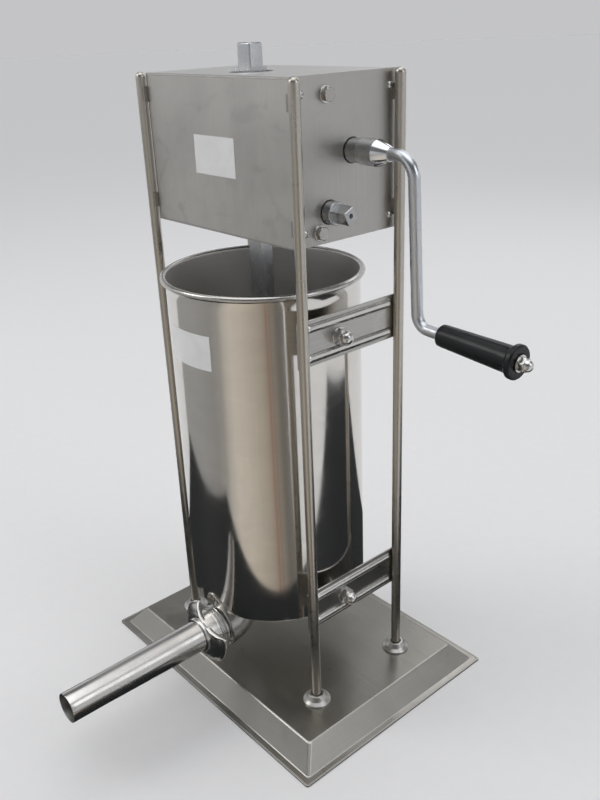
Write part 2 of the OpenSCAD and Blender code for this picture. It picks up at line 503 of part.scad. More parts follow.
base_tray();
post_front_left();
post_front_right();
post_back_left();
post_back_right();
post_collars();
post_washers();
post_nuts();
post_pads();
side_plate_left();
side_plate_right();
gearbox_shell();
bottom_cover();
casing_screws();
guide_member_upper();
guide_member_lower();
guide_bolts();
guide_bolt_washers();
bearing_plate();
upper_bushes();
lower_bushes();
upper_shaft();
rack_pinion();
big_gear();
shaft_keys();
upper_shaft_rings();
crank_hub();
crank_pin();
crank_rod();
crank_grip();
grip_washer();
grip_nut();
lower_shaft();
small_gear();
lower_shaft_rings();
rack();
rack_pin();
piston_hub();
piston_plate_top();
piston_seal();
piston_plate_bottom();
piston_screws();
air_valve();
barrel();
barrel_bosses();
elbow_spout();
spout_gasket();
nozzle();
ring_nut();
bracket_upper_left();
bracket_upper_right();
bracket_lower_left();
bracket_lower_right();
barrel_studs();
stud_washers();
acorn_nuts();
label_casing();
label_barrel();
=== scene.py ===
import bpy, bmesh, math
from mathutils import Vector, Matrix


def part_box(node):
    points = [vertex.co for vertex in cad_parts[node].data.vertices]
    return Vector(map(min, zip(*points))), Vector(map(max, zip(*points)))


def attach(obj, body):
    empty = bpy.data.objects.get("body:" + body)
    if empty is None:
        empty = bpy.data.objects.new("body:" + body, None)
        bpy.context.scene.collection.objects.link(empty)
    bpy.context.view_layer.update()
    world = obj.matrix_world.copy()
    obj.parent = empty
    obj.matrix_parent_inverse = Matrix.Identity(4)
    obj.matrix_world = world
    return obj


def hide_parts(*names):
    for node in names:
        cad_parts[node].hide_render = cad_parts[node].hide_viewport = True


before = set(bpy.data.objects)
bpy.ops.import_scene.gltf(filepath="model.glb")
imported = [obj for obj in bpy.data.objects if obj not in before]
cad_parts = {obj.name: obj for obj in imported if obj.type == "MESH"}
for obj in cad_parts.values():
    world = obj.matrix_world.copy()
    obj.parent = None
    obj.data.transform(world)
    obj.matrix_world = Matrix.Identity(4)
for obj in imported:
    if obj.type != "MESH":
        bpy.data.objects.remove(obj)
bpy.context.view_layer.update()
scene = bpy.context.scene
MM = 0.001
PI = math.pi

# ------------------------------------------------------------------ camera
YAW, PITCH, ROLL = math.radians(49.64), math.radians(23.85), math.radians(-2.35)
fw = Vector((-math.sin(YAW) * math.cos(PITCH), math.cos(YAW) * math.cos(PITCH), -math.sin(PITCH)))
rt = Vector((math.cos(YAW), math.sin(YAW), 0))
up = rt.cross(fw)
rt2 = rt * math.cos(ROLL) + up * math.sin(ROLL)
up2 = up * math.cos(ROLL) - rt * math.sin(ROLL)
cam_data = bpy.data.cameras.new("camera")
cam_data.sensor_fit = "AUTO"
cam_data.sensor_width = 36
cam_data.lens = 861.32 * 36 / 800
cam_data.clip_start, cam_data.clip_end = 0.01, 1000
cam = bpy.data.objects.new("camera", cam_data)
m = Matrix((rt2, up2, -fw)).transposed().to_4x4()
m.translation = Vector((0.75276, -0.60803, 0.79373))
cam.matrix_world = m
scene.collection.objects.link(cam)
scene.camera = cam


# ------------------------------------------------------------------ materials
class Mat:
    def __init__(self, name, color, metallic=1.0, rough=0.3, bevel=0.0):
        self.m = bpy.data.materials.new(name)
        self.m.use_nodes = True
        self.nt = self.m.node_tree
        self.nt.nodes.clear()
        self.out = self.n("ShaderNodeOutputMaterial")
        self.p = self.n("ShaderNodeBsdfPrincipled")
        self.l(self.p.outputs[0], self.out.inputs["Surface"])
        self.co = self.n("ShaderNodeTexCoord").outputs["Object"]
        self.p.inputs["Metallic"].default_value = metallic
        self.p.inputs["Roughness"].default_value = rough
        self.p.inputs["Base Color"].default_value = (*color, 1)
        self.color = color
        self.rough = rough
        self.bevel = None
        if bevel:
            b = self.n("ShaderNodeBevel", samples=4)
            b.inputs["Radius"].default_value = bevel * MM
            self.bevel = b.outputs[0]
            self.l(self.bevel, self.p.inputs["Normal"])

    def n(self, kind, **kw):
        node = self.nt.nodes.new(kind)
        for k, v in kw.items():
            setattr(node, k, v)
        return node

    def l(self, a, b):
        self.nt.links.new(a, b)

    def noise(self, scale=(1, 1, 1), detail=3.0, rough=0.55, distort=0.0, offset=(0, 0, 0)):
        mp = self.n("ShaderNodeMapping")
        mp.inputs["Scale"].default_value = scale
        mp.inputs["Location"].default_value = offset
        self.l(self.co, mp.inputs["Vector"])
        t = self.n("ShaderNodeTexNoise")
        t.inputs["Scale"].default_value = 1.0
        t.inputs["Detail"].default_value = detail
        t.inputs["Roughness"].default_value = rough
        t.inputs["Distortion"].default_value = distort
        self.l(mp.outputs[0], t.inputs["Vector"])
        return t.outputs["Fac"]

    def rng(self, v, a, b, lo, hi):
        r = self.n("ShaderNodeMapRange")
        r.clamp = True
        for k, x in (("From Min", a), ("From Max", b), ("To Min", lo), ("To Max", hi)):
            r.inputs[k].default_value = x
        self.l(v, r.inputs["Value"])
        return r.outputs[0]

    def math(self, op, a, b=None):
        r = self.n("ShaderNodeMath", operation=op)
        for i, v in enumerate((a, b)):
            if v is None:
                continue
            if isinstance(v, (int, float)):
                r.inputs[i].default_value = v
            else:
                self.l(v, r.inputs[i])
        return r.outputs[0]

    def mix(self, fac, a, b):
        r = self.n("ShaderNodeMix", data_type="RGBA")
        self.l(fac, r.inputs[0])
        for i, v in ((6, a), (7, b)):
            if isinstance(v, tuple):
                r.inputs[i].default_value = (*v, 1)
            else:
                self.l(v, r.inputs[i])
        return r.outputs[2]

    def fmix(self, fac, a, b):
        r = self.n("ShaderNodeMix", data_type="FLOAT")
        self.l(fac, r.inputs[0])
        for i, v in ((2, a), (3, b)):
            if isinstance(v, (int, float)):
                r.inputs[i].default_value = v
            else:
                self.l(v, r.inputs[i])
        return r.outputs[0]

    def bump(self, height, dist, strength=1.0):
        b = self.n("ShaderNodeBump")
        b.inputs["Strength"].default_value = strength
        b.inputs["Distance"].default_value = dist * MM
        self.l(height, b.inputs["Height"])
        if self.bevel is not None:
            self.l(self.bevel, b.inputs["Normal"])
        self.l(b.outputs[0], self.p.inputs["Normal"])
        self.bevel = b.outputs[0]

    def set_color(self, sock):
        self.l(sock, self.p.inputs["Base Color"])

    def set_rough(self, sock):
        self.l(sock, self.p.inputs["Roughness"])


def shade(c, k):
    return tuple(min(1.0, x * k) for x in c)


def brushed(name, color, rough, along="flat", fine=900.0, bump=0.006, bevel=0.0, cloud=0.10, dark=0.82, wear=0.0):
    """Ground or brushed metal: fine streaks, cloudy sheen, a few darker handling patches."""
    a = Mat(name, color, 1.0, rough, bevel)
    if along == "flat":  # lines run along X and Y on walls, along X on tops
        wall = a.noise((9, 9, fine), 4, 0.7)
        top = a.noise((9, fine, 9), 4, 0.7)
        geo = a.n("ShaderNodeNewGeometry")
        sep = a.n("ShaderNodeSeparateXYZ")
        a.l(geo.outputs["Normal"], sep.inputs[0])
        nz = a.math("ABSOLUTE", sep.outputs[2])
        f = a.rng(nz, 0.55, 0.75, 0, 1)
        streak = a.fmix(f, wall, top)
    elif along == "z":
        streak = a.noise((fine, fine, 9), 4, 0.7)
    elif along == "wall":  # upright lines on walls, lines along X on tops
        wall = a.noise((fine, fine, 7), 4, 0.7)
        top = a.noise((9, fine, 9), 4, 0.7)
        geo = a.n("ShaderNodeNewGeometry")
        sep = a.n("ShaderNodeSeparateXYZ")
        a.l(geo.outputs["Normal"], sep.inputs[0])
        nz = a.math("ABSOLUTE", sep.outputs[2])
        streak = a.fmix(a.rng(nz, 0.55, 0.75, 0, 1), wall, top)
    elif along == "ring":  # turned or polished round a vertical axis
        streak = a.noise((6, 6, fine), 4, 0.7)
    elif along == "x":
        streak = a.noise((9, fine, fine), 4, 0.7)
    elif along == "ringx":
        streak = a.noise((fine, 6, 6), 4, 0.7)
    else:  # ring round Y
        streak = a.noise((6, fine, 6), 4, 0.7)
    big = a.noise((11, 11, 11), 3, 0.6, 0.6, (3, 5, 2))
    mid = a.noise((60, 60, 60), 4, 0.6, 0.3, (1, 7, 4))
    c1 = a.mix(a.rng(big, 0.3, 0.7, 0, 1), shade(color, 1 - cloud), shade(color, 1 + cloud * 0.6))
    c2 = a.mix(a.rng(streak, 0.25, 0.75, 0, 1), c1, shade(color, dark))
    c3 = a.mix(a.rng(mid, 0.58, 0.8, 0, 0.35), c2, shade(color, 0.86))
    if wear:  # finger smudges and wiped patches
        pat = a.noise((26, 26, 34), 3, 0.55, 0.9, (7, 2, 8))
        c3 = a.mix(a.rng(pat, 0.56, 0.70, 0, 1), c3, shade(color, 1 - wear))
    a.set_color(c3)
    r = a.math("ADD", a.rng(streak, 0.2, 0.8, rough * 0.82, rough * 1.18), a.rng(mid, 0.35, 0.75, -0.025, 0.05))
    a.set_rough(a.math("ADD", r, a.rng(big, 0.3, 0.7, -0.03, 0.04)))
    a.bump(streak, bump)
    return a


def polished(name, color, rough, line=1400.0, bump=0.0012, cloud=0.05, wave=0.0, axis="z", bevel=0.0):
    """Mirror-polished steel: faint polishing lines, wipe marks, a trace of waviness."""
    a = Mat(name, color, 1.0, rough, bevel)
    sc = {"z": (5, 5, line), "y": (5, line, 5), "x": (line, 5, 5)}[axis]
    lines = a.noise(sc, 3, 0.6)
    smear = a.noise((14, 14, 30), 4, 0.65, 0.8, (2, 9, 1))
    spots = a.noise((260, 260, 260), 2, 0.5, 0, (8, 1, 6))
    a.set_color(a.mix(a.rng(smear, 0.35, 0.7, 0, 1), shade(color, 1 + cloud * 0.5), shade(color, 1 - cloud)))
    r = a.math("ADD", a.rng(smear, 0.3, 0.75, rough * 0.7, rough * 1.5), a.rng(spots, 0.62, 0.8, 0, 0.05))
    a.set_rough(a.math("ADD", r, a.rng(lines, 0.3, 0.8, -0.01, 0.02)))
    h = lines
    if wave:
        w = a.noise((18, 18, 7), 2, 0.5, 0.3, (5, 5, 5))
        a.bump(w, wave)
    a.bump(h, bump)
    return a


SHEET = brushed("brushed_sheet", (0.50, 0.485, 0.455), 0.32, "flat", 1100, 0.006, cloud=0.10)
# painted shade: a darker copy of the tray sheet, given to the tray's flat top
SHEET_TOP_PAINTED_SHADE = brushed("sheet_top_painted_shade", (0.40, 0.385, 0.355), 0.33, "flat", 1100, 0.006, cloud=0.12)
SHEET_EDGE = brushed("brushed_sheet_edges", (0.55, 0.54, 0.52), 0.36, "wall", 900, 0.005, bevel=0.5)
# painted shade: a darker copy of the casing sheet for the side plates and inner flanges; its smudges are real handling
# wear
CASING_SIDE_PAINTED_SHADE = brushed("casing_side_painted_shade", (0.52, 0.51, 0.49), 0.36, "wall", 900, 0.004, cloud=0.08, dark=0.9, wear=0.08)
CASING = brushed("brushed_casing", (0.70, 0.68, 0.65), 0.36, "wall", 900, 0.004, cloud=0.10, dark=0.9, wear=0.16)
POST = brushed("satin_post", (0.56, 0.53, 0.48), 0.30, "z", 1500, 0.0008, cloud=0.04, dark=0.94)
BRACKET = brushed("bracket_steel", (0.58, 0.57, 0.545), 0.30, "flat", 1300, 0.004, bevel=0.5)
BARREL = polished("polished_barrel", (0.74, 0.715, 0.68), 0.10, 1600, 0.0010, wave=0.012)
RIM = brushed("rolled_rim", (0.60, 0.59, 0.57), 0.24, "ring", 1500, 0.002, cloud=0.06, dark=0.92)
# painted light: the barrel's inside gets a lighter, rougher steel than its outside, lifting the shade inside it
BARREL_IN_PAINTED_LIGHT = brushed("barrel_inside_painted_light", (0.88, 0.865, 0.84), 0.46, "ring", 1000, 0.002, cloud=0.08, dark=0.92)
NOZZLE = polished("polished_nozzle", (0.62, 0.61, 0.595), 0.24, 1300, 0.0006, axis="x", wave=0.008)
NOZZLE_IN = brushed("nozzle_bore", (0.46, 0.455, 0.44), 0.45, "x", 900, 0.003)
CAST = polished("cast_polished", (0.70, 0.69, 0.67), 0.25, 700, 0.002, wave=0.05, axis="y")
ELBOW = polished("elbow_steel", (0.60, 0.595, 0.58), 0.26, 700, 0.003, wave=0.06, axis="y")
COLLAR = brushed("satin_collar", (0.58, 0.57, 0.55), 0.33, "ring", 1500, 0.003, cloud=0.06, dark=0.9)
ZINC = brushed("zinc_plated", (0.60, 0.615, 0.635), 0.26, "z", 800, 0.003, bevel=0.35, cloud=0.08, dark=0.9)
ZINC_X = brushed("zinc_turned", (0.58, 0.59, 0.60), 0.25, "ringx", 1500, 0.004, bevel=0.3)
ZINC_R = brushed("zinc_rack", (0.62, 0.635, 0.655), 0.27, "z", 900, 0.0005, cloud=0.05, dark=0.95)
CHROME_ROD = polished("chromed_rod", (0.66, 0.685, 0.72), 0.30, 900, 0.002, wave=0.02)
FAST = polished("bright_fastener", (0.70, 0.69, 0.68), 0.22, 1500, 0.002, bevel=0.25)
HUB = brushed("turned_hub", (0.72, 0.73, 0.74), 0.26, "ringx", 1800, 0.0015, dark=0.93, cloud=0.05)
HEX = polished("hex_bolt", (0.50, 0.49, 0.465), 0.20, 1500, 0.002, bevel=0.45)
# painted highlight: a lighter copy of the bracket steel for the crowns of the pressed beads
BEAD_PAINTED_HIGHLIGHT = brushed("bead_crown_painted_highlight", (0.80, 0.79, 0.76), 0.24, "flat", 1300, 0.002, cloud=0.05)
# painted shade: a darker, rougher copy of the casing sheet for the rounded top bends
BEND_PAINTED_SHADE = brushed("bend_painted_shade", (0.50, 0.49, 0.47), 0.62, "wall", 900, 0.002)
# painted light: a lighter copy of the casing sheet for the casing's flat top
CASING_TOP_PAINTED_LIGHT = brushed("casing_top_painted_light", (0.72, 0.715, 0.70), 0.44, "wall", 900, 0.003, cloud=0.06, dark=0.93)
PAD = brushed("satin_pad", (0.46, 0.445, 0.415), 0.36, "z", 1200, 0.002)
CONE = polished("turned_cone", (0.80, 0.81, 0.83), 0.09, 1200, 0.003, axis="x", wave=0.02)
# painted shade: oiled bronze darkened to near black, standing in for the dark gap round the shafts
BRONZE_PAINTED_SHADE = brushed("bronze_bush_painted_shade", (0.16, 0.12, 0.085), 0.5, "ringx", 1200, 0.004, bevel=0.3)
SPRING = brushed("dark_ring_steel", (0.16, 0.165, 0.18), 0.35, "ringx", 1200, 0.003, bevel=0.2)


def black_grip():
    a = Mat("black_grip", (0.008, 0.009, 0.010), 0.0, 0.30)
    a.p.inputs["Specular IOR Level"].default_value = 0.32
    fine = a.noise((900, 900, 900), 3, 0.6)
    flow = a.noise((25, 160, 160), 4, 0.6, 0.6, (4, 2, 7))
    dust = a.noise((340, 340, 340), 4, 0.75, 0.2, (9, 3, 3))
    c = a.mix(a.rng(flow, 0.35, 0.7, 0, 1), (0.006, 0.007, 0.008), (0.012, 0.013, 0.015))
    a.set_color(a.mix(a.rng(dust, 0.68, 0.82, 0, 0.4), c, (0.06, 0.06, 0.06)))
    a.set_rough(a.math("ADD", a.rng(flow, 0.3, 0.7, 0.24, 0.38), a.rng(dust, 0.6, 0.8, 0, 0.2)))
    a.bump(fine, 0.010)
    a.bump(flow, 0.03)
    return a


def silicone():
    a = Mat("white_silicone", (0.78, 0.77, 0.73), 0.0, 0.42)
    a.p.inputs["Subsurface Weight"].default_value = 0.15
    a.p.inputs["Subsurface Radius"].default_value = (0.004, 0.003, 0.002)
    g = a.noise((500, 500, 500), 3)
    s = a.noise((30, 30, 30), 4, 0.6, 0.5)
    a.set_color(a.mix(a.rng(s, 0.35, 0.7, 0, 1), (0.80, 0.79, 0.75), (0.70, 0.68, 0.62)))
    a.set_rough(a.rng(g, 0.3, 0.7, 0.36, 0.5))
    a.bump(g, 0.01)
    return a


def sticker():
    a = Mat("blank_label", (0.86, 0.86, 0.85), 0.0, 0.36)
    fib = a.noise((700, 700, 1400), 4, 0.7)
    yel = a.noise((40, 40, 40), 3, 0.6, 0.5, (6, 6, 2))
    c = a.mix(a.rng(yel, 0.35, 0.75, 0, 1), (0.88, 0.88, 0.875), (0.80, 0.80, 0.79))
    a.set_color(a.mix(a.rng(fib, 0.4, 0.75, 0, 0.35), c, (0.74, 0.74, 0.74)))
    a.set_rough(a.rng(fib, 0.3, 0.7, 0.30, 0.42))
    a.bump(fib, 0.004)
    return a


GRIP, SILICONE, LABEL = black_grip(), silicone(), sticker()

NODE_MAT = {
    "base_tray": SHEET_EDGE, "side_plate_left": SHEET_EDGE, "side_plate_right": SHEET_EDGE, "gearbox_shell": SHEET_EDGE, "bottom_cover": SHEET_EDGE,
    "post_pads": PAD, "bracket_upper_left": BRACKET, "bracket_upper_right": BRACKET, "bracket_lower_left": BRACKET, "bracket_lower_right": BRACKET,
    "post_front_left": POST, "post_front_right": POST, "post_back_left": POST, "post_back_right": POST, "post_collars": COLLAR,
    "barrel": BARREL, "barrel_bosses": BARREL, "elbow_spout": ELBOW, "nozzle": NOZZLE, "ring_nut": CAST, "spout_gasket": SILICONE,
    "piston_hub": FAST, "piston_plate_top": BARREL, "piston_plate_bottom": BARREL, "piston_seal": SILICONE, "piston_screws": FAST, "air_valve": FAST,
    "crank_rod": CHROME_ROD, "crank_hub": HUB, "crank_pin": ZINC_X, "crank_grip": GRIP, "grip_washer": FAST, "grip_nut": FAST,
    "guide_member_upper": ZINC, "guide_member_lower": ZINC, "bearing_plate": ZINC, "rack": ZINC, "rack_pin": ZINC_X,
    "upper_shaft": ZINC_X, "rack_pinion": ZINC_X, "big_gear": ZINC_X, "small_gear": ZINC_X, "lower_shaft": ZINC_X, "shaft_keys": ZINC_X,
    # painted shade: the bushes take the near-black bronze
    "upper_shaft_rings": SPRING, "lower_shaft_rings": SPRING, "upper_bushes": BRONZE_PAINTED_SHADE, "lower_bushes": BRONZE_PAINTED_SHADE,
    "post_washers": ZINC, "post_nuts": ZINC, "casing_screws": FAST, "guide_bolts": FAST, "guide_bolt_washers": FAST,
    "barrel_studs": FAST, "stud_washers": FAST, "acorn_nuts": FAST, "label_casing": LABEL, "label_barrel": LABEL,
}
for name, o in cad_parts.items():
    mat = NODE_MAT[name].m
    if not o.material_slots:
        o.data.materials.append(mat)
    for s in o.material_slots:
        s.material = mat


# ------------------------------------------------------------------ mesh code
def build(name, verts, faces, mat, body, replaces=(), sharp=32.0, weld=True):
    """A piece from points in millimetres in the row frame."""
    me = bpy.data.meshes.new(name)
    me.from_pydata([tuple(c * MM for c in v) for v in verts], [], [tuple(f) for f in faces])
    bm = bmesh.new()
    bm.from_mesh(me)
    if weld:
        bmesh.ops.remove_doubles(bm, verts=bm.verts, dist=2e-7)
    bmesh.ops.dissolve_degenerate(bm, edges=bm.edges, dist=1e-7)
    bmesh.ops.recalc_face_normals(bm, faces=bm.faces)
    mark(bm, sharp)
    bm.to_mesh(me)
    bm.free()
    o = bpy.data.objects.new(name, me)
    scene.collection.objects.link(o)
    me.materials.append(mat.m)
    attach(o, body)
    if replaces:
        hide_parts(*replaces)
    return o


def flat(o):
    """Keeps wide flat faces truly flat in the shading beside rounded edges."""
    md = o.modifiers.new("weighted", "WEIGHTED_NORMAL")
    md.mode, md.weight, md.keep_sharp = "FACE_AREA", 50, True


def paint(o, mat, pick):
    """Gives the faces that pick(centre in millimetres) chooses a second material."""
    o.data.materials.append(mat.m)
    i = len(o.data.materials) - 1
    for q in o.data.polygons:
        if pick(q.center / MM, q.normal):
            q.material_index = i


def mark(bm, sharp):
    for f in bm.faces:
        f.smooth = True
    for e in bm.edges:
        e.smooth = not (len(e.link_faces) == 2 and e.calc_face_angle(0) > math.radians(sharp))


def cut(o, cutters, sharp=32.0):
    """Takes the cutters' shapes out of o, and drops them."""
    for c in cutters:
        md = o.modifiers.new("cut", "BOOLEAN")
        md.operation, md.solver, md.object = "DIFFERENCE", "EXACT", c
    dg = bpy.context.evaluated_depsgraph_get()
    dg.update()
    me = bpy.data.meshes.new_from_object(o.evaluated_get(dg))
    o.modifiers.clear()
    old = o.data
    o.data = me
    bpy.data.meshes.remove(old)
    for c in cutters:
        d = c.data
        bpy.data.objects.remove(c)
        bpy.data.meshes.remove(d)
    bm = bmesh.new()
    bm.from_mesh(me)
    mark(bm, sharp)
    bm.to_mesh(me)
    bm.free()


def edge_round(o, width, segs=2, angle=40.0, sharp=32.0):
    """Breaks the sharp edges of a piece."""
    bm = bmesh.new()
    bm.from_mesh(o.data)
    es = [e for e in bm.edges if len(e.link_faces) == 2 and e.calc_face_angle(0) > math.radians(angle)]
    bmesh.ops.bevel(bm, geom=es, offset=width * MM, segments=segs, affect="EDGES", clamp_overlap=True, profile=0.5)
    mark(bm, sharp)
    bm.to_mesh(o.data)
    bm.free()


def rod_cutter(p, q, r, segs=64):
    p, q = Vector(p) * MM, Vector(q) * MM
    bm = bmesh.new()
    d = q - p
    rot = d.to_track_quat("Z", "Y").to_matrix().to_4x4()
    bmesh.ops.create_cone(bm, cap_ends=True, segments=segs, radius1=r * MM, radius2=r * MM, depth=d.length, matrix=Matrix.Translation((p + q) / 2) @ rot)
    me = bpy.data.meshes.new("cutter")
    bm.to_mesh(me)
    bm.free()
    c = bpy.data.objects.new("cutter", me)
    scene.collection.objects.link(c)
    return c


def fillet(pts, radii, n=4, closed=False):
    """Rounds the corners of an outline with arcs; radii is one number a point."""
    out, N = [], len(pts)
    for i, p in enumerate(pts):
        r = radii[i] if isinstance(radii, (list, tuple)) else radii
        if (not closed and i in (0, N - 1)) or r <= 0:
            out.append(tuple(p))
            continue
        a, b, c = Vector(pts[i - 1]), Vector(p), Vector(pts[(i + 1) % N])
        u, v = (a - b), (c - b)
        lu, lv = u.length, v.length
        u, v = u / lu, v / lv
        cosang = max(-1.0, min(1.0, u.dot(v)))
        ang = math.acos(cosang)
        if ang > math.radians(178):
            out.append(tuple(p))
            continue
        t = min(r / math.tan(ang / 2), lu * 0.49, lv * 0.49)
        r2 = t * math.tan(ang / 2)
        s, e = b + u * t, b + v * t
        mid = (u + v).normalized()
        ctr = b + mid * (r2 / math.sin(ang / 2))
        a0 = math.atan2(s[1] - ctr[1], s[0] - ctr[0])
        a1 = math.atan2(e[1] - ctr[1], e[0] - ctr[0])
        da = (a1 - a0 + PI) % (2 * PI) - PI
        for k in range(n + 1):
            w = a0 + da * k / n
            out.append((ctr[0] + r2 * math.cos(w), ctr[1] + r2 * math.sin(w)))
    return out


def basis(origin, axis, xdir=None):
    """Matrix from local (x, y, z along axis) to the row frame, in millimetres."""
    z = Vector(axis).normalized()
    x = Vector(xdir) if xdir else (Vector((0, 0, 1)) if abs(z.z) < 0.9 else Vector((1, 0, 0)))
    x = (x - z * x.dot(z)).normalized()
    y = z.cross(x)
    mt = Matrix((x, y, z)).transposed().to_4x4()
    mt.translation = Vector(origin)
    return mt


def lathe(profile, segs=64, mt=None, closed=False, arc=None):
    """Turns (radius, height) points about local Z."""
    verts, faces, rings = [], [], []
    n = segs if arc is None else segs + 1
    for r, h in profile:
        if abs(r) < 1e-6:
            rings.append([len(verts)])
            verts.append(Vector((0, 0, h)))
        else:
            ring = []
            for k in range(n):
                a = 2 * PI * k / segs if arc is None else arc[0] + (arc[1] - arc[0]) * k / segs
                ring.append(len(verts))
                verts.append(Vector((r * math.cos(a), r * math.sin(a), h)))
            rings.append(ring)
    pairs = list(zip(rings, rings[1:])) + ([(rings[-1], rings[0])] if closed else [])
    for a, b in pairs:
        for k in range(n if arc is None else n - 1):
            k2 = (k + 1) % n
            if len(a) == 1 and len(b) == 1:
                continue
            if len(a) == 1:
                faces.append((a[0], b[k2], b[k]))
            elif len(b) == 1:
                faces.append((a[k], a[k2], b[0]))
            else:
                faces.append((a[k], a[k2], b[k2], b[k]))
    if mt is not None:
        verts = [mt @ v for v in verts]
    return [tuple(v) for v in verts], faces


def merge(*parts):
    verts, faces = [], []
    for v, f in parts:
        base = len(verts)
        verts += v
        faces += [tuple(i + base for i in q) for q in f]
    return verts, faces


def sweep(path, radius, segs=32, caps=True, ref=(0, 1, 0)):
    """A round bar along a path that lies in a plane; ref is that plane's normal."""
    verts, faces, rings = [], [], []
    ref = Vector(ref)
    P = [Vector(p) for p in path]
    for i, p in enumerate(P):
        t = (P[min(i + 1, len(P) - 1)] - P[max(i - 1, 0)]).normalized()
        b = t.cross(ref).normalized()
        r = radius[i] if isinstance(radius, (list, tuple)) else radius
        ring = []
        for k in range(segs):
            a = 2 * PI * k / segs
            ring.append(len(verts))
            verts.append(tuple(p + (ref * math.cos(a) + b * math.sin(a)) * r))
        rings.append(ring)
    for a, b in zip(rings, rings[1:]):
        for k in range(segs):
            k2 = (k + 1) % segs
            faces.append((a[k], a[k2], b[k2], b[k]))
    if caps:
        faces.append(tuple(reversed(rings[0])))
        faces.append(tuple(rings[-1]))
    return verts, faces


def arcpts(c, r, a0, a1, n, y=0.0):
    return [(c[0] + r * math.cos(math.radians(a0 + (a1 - a0) * k / n)), y, c[1] + r * math.sin(math.radians(a0 + (a1 - a0) * k / n))) for k in range(n + 1)]


def rrect(hx, hy, r, z, n=5):
    """Loop of a rounded rectangle at height z, four corners of n steps."""
    pts = []
    for cx, cy, a0 in ((hx - r, hy - r, 0), (-hx + r, hy - r, 90), (-hx + r, -hy + r, 180), (hx - r, -hy + r, 270)):
        for k in range(n + 1):
            a = math.radians(a0 + 90 * k / n)
            pts.append((cx + r * math.cos(a), cy + r * math.sin(a), z))
    return pts


def skin(loops, cap0=True, cap1=True):
    verts, faces = [], []
    n = len(loops[0])
    for lp in loops:
        verts += lp
    for i in range(len(loops) - 1):
        for k in range(n):
            k2 = (k + 1) % n
            faces.append((i * n + k, i * n + k2, (i + 1) * n + k2, (i + 1) * n + k))
    if cap0:
        faces.append(tuple(reversed(range(n))))
    if cap1:
        faces.append(tuple(range((len(loops) - 1) * n, len(loops) * n)))
    return verts, faces


UPY, UPZ = 10.5, 672.7
LOWY, LOWZ = 10.5 - 32.5, 672.7 - 65 * math.sin(math.radians(60))
BY = -16.0
NZ = 93.0

# ---- base tray: one pressed sheet
prof = fillet([(-7.0, 0.0), (-7.0, 2.1), (1.74, 2.1), (22.0, 26.0), (30.0, 26.0)], [0, 0.6, 2.2, 4.0, 0], 6)
loops = []
inner = fillet([(-5.0, 0.0), (2.0, 0.0), (23.0, 24.5), (32.0, 24.5)], [0, 1.2, 3.0, 0], 5)
for u, z in reversed(inner):
    t = u / 22.0
    loops.append(rrect(197.5 - 21.5 * t, 147.5 - 22.5 * t, 3.0, z))
for u, z in prof:
    t = u / 22.0
    hx, hy = (204.5 - (u + 7), 154.5 - (u + 7)) if u < 0 else (197.5 - 21.5 * t, 147.5 - 22.5 * t)
    loops.append(rrect(hx, hy, 3.4 if u < 1.8 else 4.2, z))
v, f = skin(loops)
tray = build("tray_skin", v, f, SHEET, "stand", ["base_tray"], sharp=40)
# painted shade: the tray's flat top gets the darker copy of its sheet
paint(tray, SHEET_TOP_PAINTED_SHADE, lambda c, n: n.z > 0.98 and c.z > 15)
flat(tray)
# welded bead that stiffens the lip
lip = []
for (hx, hy, z) in ((203.6, 153.6, 2.0), (203.3, 153.3, 2.55), (202.6, 152.6, 2.75), (201.9, 151.9, 2.55), (201.6, 151.6, 2.0)):
    lip.append(rrect(hx, hy, 3.0, z))
v, f = skin(lip, False, False)
build("tray_lip_bead", v, f, SHEET, "stand")

# ---- posts with domed tops, plain threads below the tray
for px, nx in ((-1, "left"), (1, "right")):
    for py, ny in ((-1, "front"), (1, "back")):
        node = "post_%s_%s" % (ny, nx)
        lo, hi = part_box(node)
        cx, cy = (lo.x + hi.x) / 2 / MM, (lo.y + hi.y) / 2 / MM
        r = (hi.x - lo.x) / 2 / MM
        top = hi.z / MM
        pr = [(0, 5.0), (4.0, 5.0), (4.9, 5.9)]
        z = 6.4
        while z < 24.0:
            pr += [(4.45, z + 0.35), (4.95, z + 0.75)]
            z += 0.75
        pr += [(4.95, 26.05), (r, 26.05)]
        for zz in (60, 120, 200, 300, 400, 500, 600, 700):
            pr.append((r, zz))
        k0 = 10
        for k in range(k0 + 1):
            a = PI / 2 * k / k0
            pr.append((r * math.cos(a), top - r + r * math.sin(a)))
        pr[-1] = (0, top)
        v, f = lathe(pr, 48, Matrix.Translation((cx, cy, 0)))
        build(node + "_bar", v, f, POST, "stand", [node], sharp=50)
# ---- bell collars
parts = []
lo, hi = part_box("post_collars")
for px in (-1, 1):
    for py in (-1, 1):
        cx, cy = px * (hi.x / MM - 17.0), py * (hi.y / MM - 17.0)
        pr = fillet([(6.6, 26.0), (17.0, 26.0), (17.0, 27.9), (12.6, 31.3), (9.4, 36.3), (6.9, 36.5), (6.6, 35.0)], [0, 0.3, 1.2, 6.0, 1.0, 0.3, 0], 5)
        parts.append(lathe(pr, 56, Matrix.Translation((cx, cy, 0)), closed=True))
v, f = merge(*parts)
build("bell_collars", v, f, COLLAR, "stand", ["post_collars"], sharp=40)

